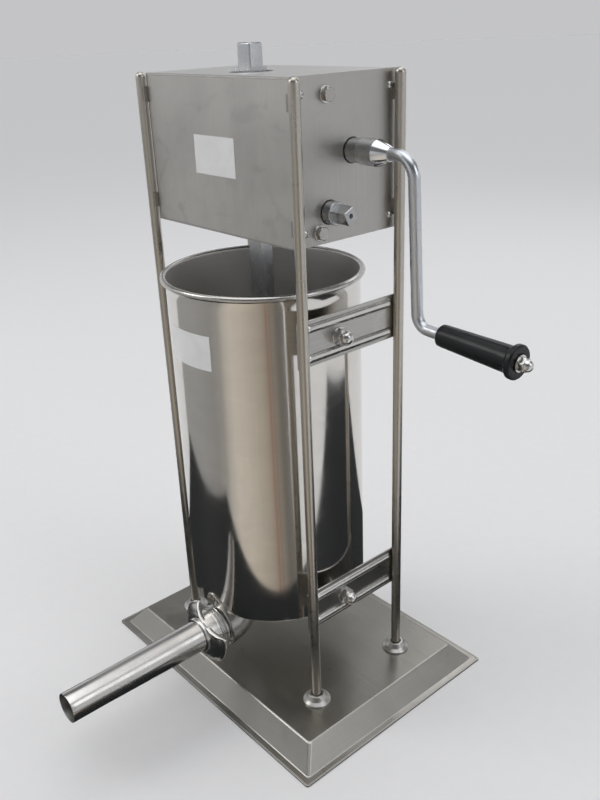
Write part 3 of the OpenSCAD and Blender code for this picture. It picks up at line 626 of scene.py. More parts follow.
# ---- gearbox casing: folded shell between two side plates
X = 119.0
out = fillet([(-69, 588), (-69, 746), (75.5, 746), (75.5, 588)], [0, 2.6, 2.6, 0], 6)
inn = fillet([(-67.5, 588), (-67.5, 744.5), (74, 744.5), (74, 588)], [0, 1.1, 1.1, 0], 6)
loops = []
for x in (-X, X):
    loops.append([(x, y, z) for y, z in out] + [(x, y, z) for y, z in reversed(inn)])
n = len(loops[0])
verts = loops[0] + loops[1]
faces = [(k, (k + 1) % n, n + (k + 1) % n, n + k) for k in range(n)]
h = len(out)
for base in (0, n):
    for k in range(h - 1):
        faces.append((base + k, base + k + 1, base + n - 2 - k, base + n - 1 - k))
shell = build("casing_shell", verts, faces, CASING, "stand", ["gearbox_shell"], sharp=50)
cut(shell, [rod_cutter((0, -16.05, 730), (0, -16.05, 760), 23, 96)], sharp=50)
edge_round(shell, 0.28, 2, 60, 40)
# painted light: the casing's flat top gets the lighter copy of its sheet
paint(shell, CASING_TOP_PAINTED_LIGHT, lambda c, n: n.z > 0.97 and c.z > 745.5)
# painted shade: the rounded bends along the casing top get the darker copy
paint(shell, BEND_PAINTED_SHADE, lambda c, n: 0.03 < n.z < 0.97 and c.z > 743)
flat(shell)
# inner return flanges of the shell
bits = []
for s in (-1, 1):
    for y0, y1 in ((-67.4, -50), (56, 73.9)):
        x0, x1 = s * 117.6, s * 118.9
        v = [(x, y, z) for x in (x0, x1) for y in (y0, y1) for z in (588.2, 744.4)]
        bits.append((v, [(0, 1, 3, 2), (4, 6, 7, 5), (0, 4, 5, 1), (2, 3, 7, 6), (0, 2, 6, 4), (1, 5, 7, 3)]))
for y0, y1 in ((-67.4, -51), (57.5, 73.9)):
    v = [(x, y, z) for x in (-117.4, 117.4) for y in (y0, y1) for z in (588.1, 589.5)]
    bits.append((v, [(0, 1, 3, 2), (4, 6, 7, 5), (0, 4, 5, 1), (2, 3, 7, 6), (0, 2, 6, 4), (1, 5, 7, 3)]))
v, f = merge(*bits)
# painted shade: the flanges take the darker copy of the casing sheet
o = build("casing_flanges", v, f, CASING_SIDE_PAINTED_SHADE, "stand", weld=False)
edge_round(o, 0.3, 2, 60, 40)


def plate_x(name, x0, x1, y0, y1, z0, z1, rc, holes, node):
    loops = []
    cy, cz, hy, hz = (y0 + y1) / 2, (z0 + z1) / 2, (y1 - y0) / 2, (z1 - z0) / 2
    for x in (x0, x1):
        loops.append([(x, cy + a, cz + b) for a, b, _ in rrect(hy, hz, rc, 0, 4)])
    v, f = skin(loops)
    # painted shade: the side plates take the darker copy of the casing sheet
    o = build(name, v, f, CASING_SIDE_PAINTED_SHADE, "stand", [node], sharp=50)
    cut(o, [rod_cutter((x0 - 5, y, z), (x1 + 5, y, z), r, 72) for y, z, r in holes], 50)
    edge_round(o, 0.32, 2, 60, 40)
    flat(o)
    return o


small = [(64, 730, 2.2), (64, 600, 2.2), (-55, 730, 2.2), (-55, 600, 2.2), (-24, 728, 4.3), (-36, 598, 4.3)]
plate_x("casing_plate_right", 119.0, 121.0, -69, 75.5, 588, 746, 1.0, small + [(UPY, UPZ, 13.0), (LOWY, LOWZ, 12.6)], "side_plate_right")
plate_x("casing_plate_left", -121.0, -119.0, -69, 75.5, 588, 746, 1.0, small, "side_plate_left")

# ---- pressed side brackets: plate with two half-round beads
def bracket(name, s, zm, node):
    y0, y1, z0, z1 = -73.1, 73.1, zm - 25, zm + 25
    lo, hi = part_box(node)
    xi = min(abs(lo.x), abs(hi.x)) / MM
    xo = xi + 2.0
    zs = []
    for c in (-16.4, 16.4):
        for k in range(25):
            a = PI * k / 24
            zs.append((c - 4.8 * math.cos(a), 3.9 * math.sin(a)))
    rows = [(-25, 0)] + [zs[0]] + zs[1:24] + [zs[24]] + [(0, 0)] + zs[25:] + [(25, 0)]
    ys = [y0] + [-58 - 5 * math.cos(PI / 2 * k / 8) for k in range(9)] + [-30, 0, 30] + [58 + 5 * math.sin(PI / 2 * k / 8) for k in range(9)] + [y1]
    verts, faces = [], []
    for y in ys:
        e = 1.0
        if abs(y) > 58:
            q = min(1.0, (abs(y) - 58) / 5.0)
            e = math.sqrt(max(0.0, 1 - q * q))
        for zc, hgt in rows:
            verts.append((s * (xo + hgt * e), y, zm + zc))
    nr, ny = len(rows), len(ys)
    for i in range(ny - 1):
        for k in range(nr - 1):
            faces.append((i * nr + k, i * nr + k + 1, (i + 1) * nr + k + 1, (i + 1) * nr + k))
    base = len(verts)
    for y in ys:
        for zc, hgt in rows:
            verts.append((s * xi, y, zm + zc))
    for i in range(ny - 1):
        for k in range(nr - 1):
            faces.append((base + i * nr + k, base + (i + 1) * nr + k, base + (i + 1) * nr + k + 1, base + i * nr + k + 1))
    for k in range(nr - 1):
        faces.append((k, base + k, base + k + 1, k + 1))
        j = (ny - 1) * nr
        faces.append((j + k, j + k + 1, base + j + k + 1, base + j + k))
    for i in range(ny - 1):
        faces.append((i * nr, (i + 1) * nr, base + (i + 1) * nr, base + i * nr))
        j = nr - 1
        faces.append((i * nr + j, base + i * nr + j, base + (i + 1) * nr + j, (i + 1) * nr + j))
    o = build(name, verts, faces, BRACKET, "stand", [node], sharp=60)
    # painted highlight: the bead crowns get the lighter copy of the bracket steel
    paint(o, BEAD_PAINTED_HIGHLIGHT, lambda c, n: abs(c.x) > xo + 0.25 and abs(abs(c.z - zm) - 16.4) < 4.9)
    flat(o)
    return o


for s, sn in ((1, "right"), (-1, "left")):
    bracket("pressed_bracket_upper_" + sn, s, 486.6, "bracket_upper_" + sn)
    bracket("pressed_bracket_lower_" + sn, s, 153.5, "bracket_lower_" + sn)

# ---- barrel with rolled rim
ri, ro = 109.8, 111.0
rc, rz, rr = 109.8 + 3.4, 533.4, 3.4
pr = [(0, 126.0), (60, 126.0), (100, 126.0)] + fillet([(100, 126), (111, 126), (111, 200)], [0, 3.2, 0], 8)[1:-1]
for zz in (160, 200, 260, 320, 380, 440, 500, 520):
    pr.append((ro, zz))
a0 = -math.acos((ro + 0.35 - rc) / rr)
pr.append((ro, rz + rr * math.sin(a0) - 0.5))
for k in range(29):
    a = a0 + (PI - a0 - 0.02) * k / 28
    pr.append((rc + rr * math.cos(a), rz + rr * math.sin(a)))
for zz in (530, 500, 440, 380, 320, 260, 200, 150):
    pr.append((ri, zz))
pr += fillet([(ri, 150), (ri, 128), (80, 128)], [0, 2.5, 0], 6)[1:-1] + [(60, 128), (0, 128)]
v, f = lathe(pr, 192, Matrix.Translation((0, BY, 0)))
barrel = build("barrel_shell", v, f, BARREL, "stand", ["barrel"], sharp=40)
cut(barrel, [rod_cutter((0, -84, 110), (0, -84, 140), 28.5, 96)], 40)
# painted light: the inner wall gets the lighter steel
paint(barrel, BARREL_IN_PAINTED_LIGHT, lambda c, n: c.z > 127.5 and math.hypot(c.x, c.y - BY) < 109.95 and c.z < 533)
paint(barrel, RIM, lambda c, n: c.z > 529.2 and math.hypot(c.x, c.y - BY) >= 109.95)

# ---- elbow, neck
path = [(0, -84, 126.0)]
pts = []
for k in range(29):
    a = math.radians(90 * k / 28)
    pts.append((0, -117 + 33 * math.cos(a), 126 - 33 * math.sin(a)))
vo, fo = sweep(pts, 30.0, 72, False, (1, 0, 0))
vi, fi = sweep(pts, 28.5, 72, False, (1, 0, 0))
nr = 72
ring = []
L = len(pts)
faces_join = []
verts = vo + vi
off = len(vo)
faces = list(fo) + [tuple(reversed([i + off for i in q])) for q in fi]
for k in range(nr):
    k2 = (k + 1) % nr
    faces.append((k, off + k, off + k2, k2))
pe = fillet([(28.5, 117.0), (30.0, 117.0), (29.2, 118.2), (25.5, 120.0), (22.4, 120.3), (21.5, 121.0), (21.5, 138.0), (18.0, 138.0), (18.0, 117.5)], [0, 0.3, 0.8, 0.8, 0.3, 0.2, 0.3, 0.3, 0], 3)
vn, fn = lathe(pe, 72, basis((0, 0, NZ), (0, -1, 0)), closed=True)
v, f = merge((verts, faces), (vn, fn))
build("elbow_casting", v, f, ELBOW, "stand", ["elbow_spout"], sharp=40)

# ---- nozzle: thin cone with a straight end
w = 1.2
pr = fillet([(21.2, 139.6), (21.2, 141.5), (20.1, 141.9), (19.5, 143.0), (17.7, 290.0), (17.7, 332.0), (16.5, 332.0), (16.5, 290.0), (18.3, 142.0), (18.3, 139.6)],
            [0.3, 0.3, 0.3, 0.6, 20, 0.45, 0.45, 0, 0, 0.2], 4, closed=True)
ext = []
for i, (r0, h0) in enumerate(pr):
    r1, h1 = pr[(i + 1) % len(pr)]
    ext.append((r0, h0))
    if abs(h1 - h0) > 30:
        for q in (0.25, 0.5, 0.75):
            ext.append((r0 + (r1 - r0) * q, h0 + (h1 - h0) * q))
v, f = lathe(ext, 96, basis((0, 0, NZ), (0, -1, 0)), closed=True)
tube = build("nozzle_tube", v, f, NOZZLE, "stand", ["nozzle"], sharp=40)
paint(tube, NOZZLE_IN, lambda c, n: n.x * c.x + n.z * (c.z - NZ) < -2.0)

# ---- ring nut: turned body with thread ridges, and one waisted plate with two swept ears
pr = [(21.8, 121.0), (26.7, 121.0), (27.2, 121.6), (27.2, 124.0), (26.4, 124.8), (25.0, 125.2), (25.0, 126.0), (26.0, 126.6), (26.0, 127.6), (25.0, 128.2), (25.0, 129.0), (26.0, 129.6), (26.0, 130.6), (25.0, 131.2), (24.8, 133.0),
      (24.8, 146.4), (23.8, 147.9), (22.4, 148.4), (21.9, 151.2), (21.2, 152.0), (20.1, 152.0), (20.1, 142.5), (21.8, 142.4)]
rad = [0.2, 0.5, 0.5, 0.5, 0.5, 0.3, 0.3, 0.4, 0.4, 0.3, 0.3, 0.4, 0.4, 0.4, 0.5, 1.0, 0.8, 0.6, 0.6, 0.4, 0.3, 0.2, 0.2]
pr = fillet(pr, rad, 3, closed=True)
NB = basis((0, 0, NZ), (0, -1, 0), (math.cos(math.radians(-30)), 0, math.sin(math.radians(-30))))
body = lathe(pr, 96, NB, closed=True)


def lerp(tab, x):
    for (x0, y0), (x1, y1) in zip(tab, tab[1:]):
        if x <= x1:
            t = max(0.0, (x - x0) / (x1 - x0))
            t2 = t * t * (3 - 2 * t)
            return y0 + (y1 - y0) * (0.55 * t + 0.45 * t2)
    return tab[-1][1]


FRONT = [(15, 148.6), (25.5, 148.7), (32, 146.0), (42, 138.6)]
BACK = [(15, 142), (25.5, 142), (33, 139.4), (42, 134)]
tipa, tipr = math.radians(43.5), 41.0
Dw, rho = 122.9, 98.9


def reach(t):
    """How far the plate reaches at angle t from the ears' axis."""
    t = (t + PI / 2) % PI - PI / 2
    a = abs(t)
    arc_r = 1e9
    ca = math.cos(PI / 2 - a)
    disc = (Dw * ca) ** 2 - (Dw * Dw - rho * rho)
    if disc > 0:
        arc_r = Dw * ca - math.sqrt(disc)
    r = min(tipr, arc_r)
    k = 2.2  # soft corner between tip and side
    if arc_r < 1e8:
        r = -math.log(math.exp(-tipr / k) + math.exp(-arc_r / k)) * k if abs(tipr - arc_r) < 20 else min(tipr, arc_r)
    return r


nt_, verts, faces, prev = 240, [], [], None
cols = []
for i in range(nt_):
    th = 2 * PI * i / nt_
    R = reach(th)
    pts = []
    r0, re = 22.0, R - 1.5
    for k in range(9):
        r = r0 + (re - r0) * k / 8
        pts.append((r, lerp(FRONT, r) - 0.25 * math.sin(PI * k / 8)))
    hf, hb = lerp(FRONT, re), lerp(BACK, re)
    mid, hh = (hf + hb) / 2, (hf - hb) / 2
    for k in range(1, 8):
        a = PI / 2 - PI * k / 8
        pts.append((re + 1.5 * math.cos(a) ** 0.8, mid + hh * math.sin(a) ** 1 if math.sin(a) >= 0 else mid + hh * math.sin(a)))
    for k in range(6):
        r = re + (23.5 - re) * k / 5
        pts.append((r, lerp(BACK, r)))
    cols.append([Vector((r * math.cos(th), r * math.sin(th), h)) for r, h in pts])
npt = len(cols[0])
for c in cols:
    verts += [tuple(NB @ v) for v in c]
for i in range(nt_):
    j = (i + 1) % nt_
    for k in range(npt - 1):
        faces.append((i * npt + k, j * npt + k, j * npt + k + 1, i * npt + k + 1))
    faces.append((i * npt + npt - 1, j * npt + npt - 1, j * npt, i * npt))
v, f = merge(body, (verts, faces))
build("ring_nut_eared", v, f, CAST, "ring_nut", ["ring_nut"], sharp=38)

# ---- crank
lean, tilt, gx, gz = math.radians(2.9), math.radians(2.95), 241.0, 507.2
b1 = (181.3, UPZ - 22)
e1 = (b1[0] + 22 * math.cos(lean), b1[1] + 22 * math.sin(lean))
nrod, ngrip = (math.cos(lean), math.sin(lean)), (math.sin(tilt), math.cos(tilt))
kr = nrod[0] * e1[0] + nrod[1] * e1[1] + 15
kg = ngrip[0] * gx + ngrip[1] * gz + 15
det = nrod[0] * ngrip[1] - nrod[1] * ngrip[0]
b2 = ((kr * ngrip[1] - nrod[1] * kg) / det, (nrod[0] * kg - kr * ngrip[0]) / det)
path = [(155.2, UPY, UPZ), (165, UPY, UPZ), (174, UPY, UPZ)]
path += [(b1[0] + 22 * math.cos(a), UPY, b1[1] + 22 * math.sin(a)) for a in [PI / 2 - (PI / 2 - lean) * k / 22 for k in range(23)]]
s2 = (b2[0] - 15 * nrod[0], b2[1] - 15 * nrod[1])
e1p = path[-1]
for q in (0.2, 0.4, 0.6, 0.8):
    path.append((e1p[0] + (s2[0] - e1p[0]) * q, UPY, e1p[2] + (s2[1] - e1p[2]) * q))
path += [(b2[0] + 15 * math.cos(a), UPY, b2[1] + 15 * math.sin(a)) for a in [PI + lean + (PI / 2 - lean - tilt) * k / 20 for k in range(21)]]
gd = Vector((math.cos(tilt), 0, -math.sin(tilt)))
gp = Vector((gx, UPY, gz))
path.append(tuple(gp - gd * 2.0))
rod = sweep(path, 6.0, 40, True, (0, 1, 0))
G = basis(gp, gd)
coll = lathe(fillet([(0, -2.1), (8.0, -2.1), (8.0, -0.6), (4.0, -0.6), (4.0, 102.2), (3.4, 103.0), (0, 103.0)], [0, 0.5, 0.3, 0.1, 0.3, 0.3, 0], 3), 40, G)
v, f = merge(rod, coll)
build("crank_bar", v, f, CHROME_ROD, "crank_drive", ["crank_rod"], sharp=45)
pr = fillet([(9.0, 136.4), (12.6, 136.4), (13.2, 137.0), (13.2, 157.6), (7.0, 173.4), (6.0, 173.6), (6.0, 156.0), (9.0, 156.0)], [0, 0.3, 0.3, 0.25, 0.4, 0.2, 0, 0], 3, closed=True)
v, f = lathe(pr, 72, basis((0, UPY, UPZ), (1, 0, 0)), closed=True)
socket = build("crank_socket", v, f, HUB, "crank_drive", ["crank_hub"], sharp=24)
paint(socket, CONE, lambda c, n: c.x > 157.6 and math.hypot(c.y - UPY, c.z - UPZ) > 6.2)
pr = fillet([(4.1, 0), (9.6, 0), (11.1, 1.5), (11.4, 6), (12.0, 30), (12.7, 55), (13.2, 74), (13.45, 83.6), (15.6, 84.6), (16.9, 86.2), (17.0, 90.2), (16.0, 91.6), (9.5, 91.6), (9.0, 91.0), (4.1, 91.0)],
            [0, 0.8, 1.0, 4, 20, 20, 20, 1.4, 0.8, 1.2, 1.0, 0.8, 0.2, 0.2, 0], 4, closed=True)
v, f = lathe(pr, 64, G, closed=True)
build("grip_body", v, f, GRIP, "grip", ["crank_grip"], sharp=35)


# ---- acorn nuts: chamfered hexagon and polished dome
def acorn(mt, af, hh, rd, bore, neck=0.0):
    n = 96
    R = af / math.sqrt(3)
    verts, faces, rings = [], [], []

    def hexr(a):
        t = (a + PI / 6) % (PI / 3) - PI / 6
        return (af / 2) / math.cos(t)

    levels = [(0.0, "c", af / 2 * 0.985), (0.6, "h", 1e9), (hh - 1.4, "h", 1e9), (hh - 0.7, "h", R * 0.96), (hh, "h", R * 0.88)]
    for z, kind, lim in levels:
        ring = []
        for k in range(n):
            a = 2 * PI * k / n
            r = lim if kind == "c" else min(hexr(a), lim)
            ring.append(len(verts))
            verts.append((r * math.cos(a), r * math.sin(a), z))
        rings.append(ring)
    prof = [(min(rd + 0.25, af / 2 - 0.2), hh)] + ([(rd, hh + 0.1)] if neck else [])
    prof += [(rd * math.cos(PI / 2 * k / 12), hh + 0.1 + neck + rd * math.sin(PI / 2 * k / 12)) for k in range(13)]
    for r, z in prof[:-1]:
        ring = []
        for k in range(n):
            a = 2 * PI * k / n
            ring.append(len(verts))
            verts.append((r * math.cos(a), r * math.sin(a), z))
        rings.append(ring)
    for a, b in zip(rings, rings[1:]):
        for k in range(n):
            k2 = (k + 1) % n
            faces.append((a[k], a[k2], b[k2], b[k]))
    top = len(verts)
    verts.append((0, 0, prof[-1][1]))
    for k in range(n):
        faces.append((rings[-1][k], rings[-1][(k + 1) % n], top))
    faces.append(tuple(reversed(rings[0])))
    return [tuple(mt @ Vector(v)) for v in verts], faces


parts, wash = [], []
for s in (-1, 1):
    for z in (485.2, 152.1):
        lo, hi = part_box("bracket_upper_right")
        xo = lo.x / MM + 2.0
        parts.append(acorn(basis((s * (xo + 2.0), BY, z), (s, 0, 0), (0, 0.3, 1)), 17, 7.8, 7.9, 5, 1.9))
        wp = fillet([(5.3, 0), (10.0, 0), (10.0, 2.0), (5.3, 2.0)], [0, 0.3, 0.5, 0], 3, closed=True)
        wash.append(lathe(wp, 64, basis((s * xo, BY, z), (s, 0, 0)), closed=True))
v, f = merge(*parts)
build("dome_nuts", v, f, FAST, "stand", ["acorn_nuts"], sharp=24)
v, f = merge(*wash)
build("stud_washer_discs", v, f, FAST, "stand", ["stud_washers"], sharp=30)
v, f = acorn(basis(gp + gd * 93.5, gd, (0, 0.4, 1)), 13, 6.3, 6.0, 4)
build("grip_dome_nut", v, f, FAST, "crank_drive", ["grip_nut"], sharp=24)


# ---- chamfered hexagon head on a disc washer
def hexhead(mt, af, hh, n=96):
    R = af / math.sqrt(3)
    verts, faces, rings = [], [], []

    def hexr(a):
        t = (a + PI / 6) % (PI / 3) - PI / 6
        return (af / 2) / math.cos(t)

    for z, lim in ((0.0, af / 2 * 0.985), (0.45, 1e9), (hh - 1.3, 1e9), (hh - 0.75, R * 0.965), (hh - 0.28, R * 0.90), (hh, R * 0.82), (hh, R * 0.45)):
        ring = []
        for k in range(n):
            a = 2 * PI * k / n
            r = min(hexr(a), lim)
            ring.append(len(verts))
            verts.append((r * math.cos(a), r * math.sin(a), z))
        rings.append(ring)
    for a, b in zip(rings, rings[1:]):
        for k in range(n):
            k2 = (k + 1) % n
            faces.append((a[k], a[k2], b[k2], b[k]))
    faces.append(tuple(reversed(rings[0])))
    faces.append(tuple(rings[-1]))
    return [tuple(mt @ Vector(v)) for v in verts], faces


heads, discs = [], []
for y, z in ((-24, 728), (-36, 598)):
    for s in (-1, 1):
        heads.append(hexhead(basis((s * 122.6, y, z), (s, 0, 0), (0, 0.25, 1)), 13, 5.25))
        heads.append(lathe([(0, -9), (3.9, -9), (3.95, 0.2), (0, 0.2)], 32, basis((s * 122.6, y, z), (s, 0, 0))))
        discs.append(lathe(fillet([(4.2, 0), (8.3, 0), (8.3, 1.6), (4.2, 1.6)], [0, 0.25, 0.5, 0], 3, closed=True), 56, basis((s * 121.0, y, z), (s, 0, 0)), closed=True))
v, f = merge(*heads)
flat(build("hex_bolt_heads", v, f, HEX, "stand", ["guide_bolts"], sharp=24))
v, f = merge(*discs)
build("hex_bolt_washers", v, f, FAST, "stand", ["guide_bolt_washers"], sharp=30)

# ---- pan-head screws with crossed slots
pr = [(0, -8), (1.6, -8), (2.0, -7.4)]
z = -7.2
while z < -2.2:
    pr += [(1.75, z + 0.2), (2.0, z + 0.45)]
    z += 0.5
pr += fillet([(2.0, -0.3), (2.0, 0.02), (3.68, 0.02), (3.68, 0.75), (3.3, 1.55), (2.2, 2.2), (1.0, 2.38)], [0, 0.1, 0.25, 0.6, 1.0, 2.0, 0], 4)[1:] + [(0, 2.4)]
v, f = lathe(pr, 48)
scr = build("screw_master", v, f, FAST, "stand", sharp=35)
cs = []
for hx, hy in ((2.1, 0.42), (0.42, 2.1)):
    bmx = bmesh.new()
    bmesh.ops.create_cube(bmx, size=1.0, matrix=Matrix.Translation((0, 0, 2.1 * MM)) @ Matrix.Diagonal((2 * hx * MM, 2 * hy * MM, 2.4 * MM, 1)))
    me = bpy.data.meshes.new("cutter")
    bmx.to_mesh(me)
    bmx.free()
    c = bpy.data.objects.new("cutter", me)
    scene.collection.objects.link(c)
    cs.append(c)
cut(scr, cs, 35)
sv = [q.co / MM for q in scr.data.vertices]
sf = [tuple(q.vertices) for q in scr.data.polygons]
old = scr.data
bpy.data.objects.remove(scr)
bpy.data.meshes.remove(old)
parts = []
turn = 0.35
for y, z in ((64, 730), (64, 600), (-55, 730), (-55, 600)):
    for s in (-1, 1):
        turn += 1.1
        b = basis((s * 121.0, y, z), (s, 0, 0)) @ Matrix.Rotation(turn, 4, "Z")
        parts.append(([tuple(b @ q) for q in sv], sf))
for x, y in ((-100, -59), (100, -59), (-100, 65), (100, 65)):
    turn += 1.1
    b = basis((x, y, 586.0), (0, 0, -1)) @ Matrix.Rotation(turn, 4, "Z")
    parts.append(([tuple(b @ q) for q in sv], sf))
v, f = merge(*parts)
build("pan_screws", v, f, FAST, "stand", ["casing_screws"], sharp=35)

# ---- rack: rounded bar, teeth cut into its back between two cheeks
y0, y1, rtop = -26.0, 10.5 - 2.5 * 17 / 2 + 0.9 * 2.5, 774.0
out = []


def side(p, q, crown, n=7):
    p, q = Vector(p), Vector(q)
    nrm = Vector(((q - p).y, -(q - p).x)).normalized()
    return [tuple(p + (q - p) * (k / n) + nrm * crown * (1 - (2 * k / n - 1) ** 2)) for k in range(n + 1)]


def corner(c, r, a0, n=5):
    return [(c[0] + r * math.cos(math.radians(a0 + 90 * k / n)), c[1] + r * math.sin(math.radians(a0 + 90 * k / n))) for k in range(1, n)]


e = 0.30
xa, ya, yb = 11.0 - e, y0 + e, y1
out += side((-xa + 2.2, ya), (xa - 2.2, ya), e) + corner((xa - 2.2, ya + 2.2), 2.2, -90)
out += side((xa, ya + 2.2), (xa, yb - 1.0), e) + corner((xa - 1.0, yb - 1.0), 1.0, 0)
out += [(xa - 1.0, yb), (-xa + 1.0, yb)] + corner((-xa + 1.0, yb - 1.0), 1.0, 90)
out += side((-xa, yb - 1.0), (-xa, ya + 2.2), e) + corner((-xa + 2.2, ya + 2.2), 2.2, 180)
cy = (y0 + y1) / 2


def ring_at(z, k):
    return [(x * (1 - k / 11.0), cy + (y - cy) * (1 - k / 9.0), z) for x, y in out]


zs = [(159.0, 0.8), (159.8, 0.0)] + [(z, 0.0) for z in range(180, 770, 30)] + [(772.2, 0.0), (773.2, 0.25), (773.8, 0.9), (rtop, 1.7)]
v, f = skin([ring_at(z, k) for z, k in zs])
rack = build("rack_bar", v, f, ZINC_R, "piston", ["rack"], sharp=50)
P = PI * 2.5
lo_z = UPZ - 55.5 * P
yr, yt = 10.5 - 21.25 - 1.2 * 2.5, y1 + 2.0
t20 = math.tan(math.radians(20))
cv, cf = [], []
for k in range(-1, 67):
    za, zb = lo_z + k * P, lo_z + (k + 1) * P
    hr = P / 4 - 0.25 + 1.2 * 2.5 * t20
    ht = P / 4 - 0.25 - (yt - (10.5 - 21.25)) * t20
    b0 = len(cv)
    prof4 = [(yr, za + hr), (yr, zb - hr), (yt, zb - ht), (yt, za + ht)]
    if k == -1:
        prof4 = [(yr, zb - P / 2), (yr, zb - hr), (yt, zb - ht), (yt, zb - P / 2)]
    for x in (-8.0, 8.0):
        cv += [(x, y, z) for y, z in prof4]
    cf += [(b0, b0 + 1, b0 + 2, b0 + 3), (b0 + 7, b0 + 6, b0 + 5, b0 + 4), (b0, b0 + 4, b0 + 5, b0 + 1), (b0 + 1, b0 + 5, b0 + 6, b0 + 2), (b0 + 2, b0 + 6, b0 + 7, b0 + 3), (b0 + 3, b0 + 7, b0 + 4, b0)]
me = bpy.data.meshes.new("cutter")
me.from_pydata([tuple(c * MM for c in q) for q in cv], [], cf)
bmx = bmesh.new()
bmx.from_mesh(me)
bmesh.ops.recalc_face_normals(bmx, faces=bmx.faces)
bmx.to_mesh(me)
bmx.free()
tc = bpy.data.objects.new("cutter", me)
scene.collection.objects.link(tc)
cut(rack, [tc, rod_cutter((-20, cy, 166), (20, cy, 166), 3.0, 32)], 50)
flat(rack)

# ---- slow drive shaft with its squared end
SB = basis((0, LOWY, LOWZ), (1, 0, 0), (0, math.cos(math.radians(27)), math.sin(math.radians(27))))
pr = fillet([(0, 38), (7.2, 38), (8.0, 38.8), (8.0, 100.9), (11.7, 100.9), (11.7, 132.0), (0, 132.0)], [0, 0.3, 0.3, 0.2, 0.5, 0.8, 0], 4)
cyl = lathe(pr, 72, SB)
n = 180


def sqr(a, h, lim):
    t = (a + PI / 4) % (PI / 2) - PI / 4
    return min(h / math.cos(t), lim)


verts, faces, rings = [], [], []
for z, h, lim in ((131.0, 7.0, 9.6), (150.4, 7.0, 9.6), (150.9, 6.9, 9.35), (151.3, 6.65, 8.9), (151.5, 6.3, 8.4), (151.5, 2.6, 2.6), (151.2, 2.2, 2.2), (150.9, 2.0, 2.0), (146.6, 2.0, 2.0), (145.4, 0.6, 0.6)):
    ring = []
    for k in range(n):
        a = 2 * PI * k / n
        r = sqr(a, h, lim) if h != lim else h
        ring.append(len(verts))
        verts.append((r * math.cos(a), r * math.sin(a), z))
    rings.append(ring)
for a, b in zip(rings, rings[1:]):
    for k in range(n):
        faces.append((a[k], a[(k + 1) % n], b[(k + 1) % n], b[k]))
faces.append(tuple(reversed(rings[0])))
faces.append(tuple(rings[-1]))
sq = ([tuple(SB @ Vector(q)) for q in verts], faces)
v, f = merge(cyl, sq)
flat(build("slow_shaft_bar", v, f, ZINC_X, "slow_shaft", ["lower_shaft"], sharp=22))

# ------------------------------------------------------------------ stage
def floor_material():
    a = Mat("pale_floor", (0.87, 0.87, 0.87), 0.0, 0.75)
    a.p.inputs["Specular IOR Level"].default_value = 0.0
    g = a.noise((60, 60, 60), 4, 0.6)
    a.set_color(a.mix(a.rng(g, 0.3, 0.7, 0, 1), (0.87, 0.87, 0.875), (0.855, 0.855, 0.86)))
    a.set_rough(a.rng(g, 0.3, 0.7, 0.7, 0.8))
    return a


fm = floor_material()
me = bpy.data.meshes.new("floor")
S = 300.0
me.from_pydata([(-S, -S, 0), (S, -S, 0), (S, S, 0), (-S, S, 0)], [], [(0, 1, 2, 3)])
floor = bpy.data.objects.new("floor", me)
me.materials.append(fm.m)
scene.collection.objects.link(floor)


def backdrop():
    """A pale surround far behind the floor, seen by the camera only, so that no view shows a horizon."""
    a = Mat("pale_surround", (0.0, 0.0, 0.0), 0.0, 1.0)
    a.p.inputs["Specular IOR Level"].default_value = 0.0
    a.p.inputs["Emission Color"].default_value = (0.553, 0.553, 0.565, 1)
    a.p.inputs["Emission Strength"].default_value = 1.0
    n, rows = 48, 10
    v = [(30 * math.cos(2 * PI * k / n) * math.cos(0.5 * PI * i / rows), 30 * math.sin(2 * PI * k / n) * math.cos(0.5 * PI * i / rows),
          -0.5 + 30 * math.sin(0.5 * PI * i / rows)) for i in range(rows) for k in range(n)] + [(0, 0, 29.5)]
    f = [(i * n + k, i * n + (k + 1) % n, (i + 1) * n + (k + 1) % n, (i + 1) * n + k) for i in range(rows - 1) for k in range(n)]
    f += [((rows - 1) * n + k, (rows - 1) * n + (k + 1) % n, rows * n) for k in range(n)]
    me = bpy.data.meshes.new("surround")
    me.from_pydata(v, [], f)
    me.materials.append(a.m)
    o = bpy.data.objects.new("surround", me)
    scene.collection.objects.link(o)
    o.visible_diffuse = o.visible_glossy = o.visible_shadow = o.visible_transmission = False


backdrop()


def area(name, loc, target, size, power, color=(1, 1, 1)):
    d = bpy.data.lights.new(name, "AREA")
    d.shape, d.size, d.size_y = "RECTANGLE", size[0], size[1]
    d.energy, d.color = power, color
    o = bpy.data.objects.new(name, d)
    o.location = loc
    o.rotation_euler = (Vector(target) - Vector(loc)).to_track_quat("-Z", "Y").to_euler()
    scene.collection.objects.link(o)
    return o


area("key", (-1.6, -1.7, 2.3), (0, 0, 0.4), (1.3, 1.3), 17, (1.0, 0.985, 0.96))
area("fill", (2.3, 0.6, 1.8), (0, 0, 0.4), (1.3, 1.3), 8, (0.97, 0.985, 1.0))
area("back", (-0.6, 2.3, 2.2), (0, 0, 0.4), (2.0, 0.9), 9)


def flag(name, corners, color, rough=0.55):
    """A dark studio card that only shows in reflections."""
    a = Mat(name, color, 0.0, rough)
    a.p.inputs["Specular IOR Level"].default_value = 0.1
    g = a.noise((25, 25, 25), 4, 0.6, 0.4)
    a.set_color(a.mix(a.rng(g, 0.3, 0.7, 0, 1), color, shade(color, 1.35)))
    a.set_rough(a.rng(g, 0.3, 0.7, rough - 0.08, rough + 0.08))
    me = bpy.data.meshes.new(name)
    me.from_pydata(corners, [], [tuple(range(len(corners)))])
    me.materials.append(a.m)
    o = bpy.data.objects.new(name, me)
    scene.collection.objects.link(o)
    o.visible_camera = o.visible_diffuse = o.visible_shadow = o.visible_transmission = False
    return o


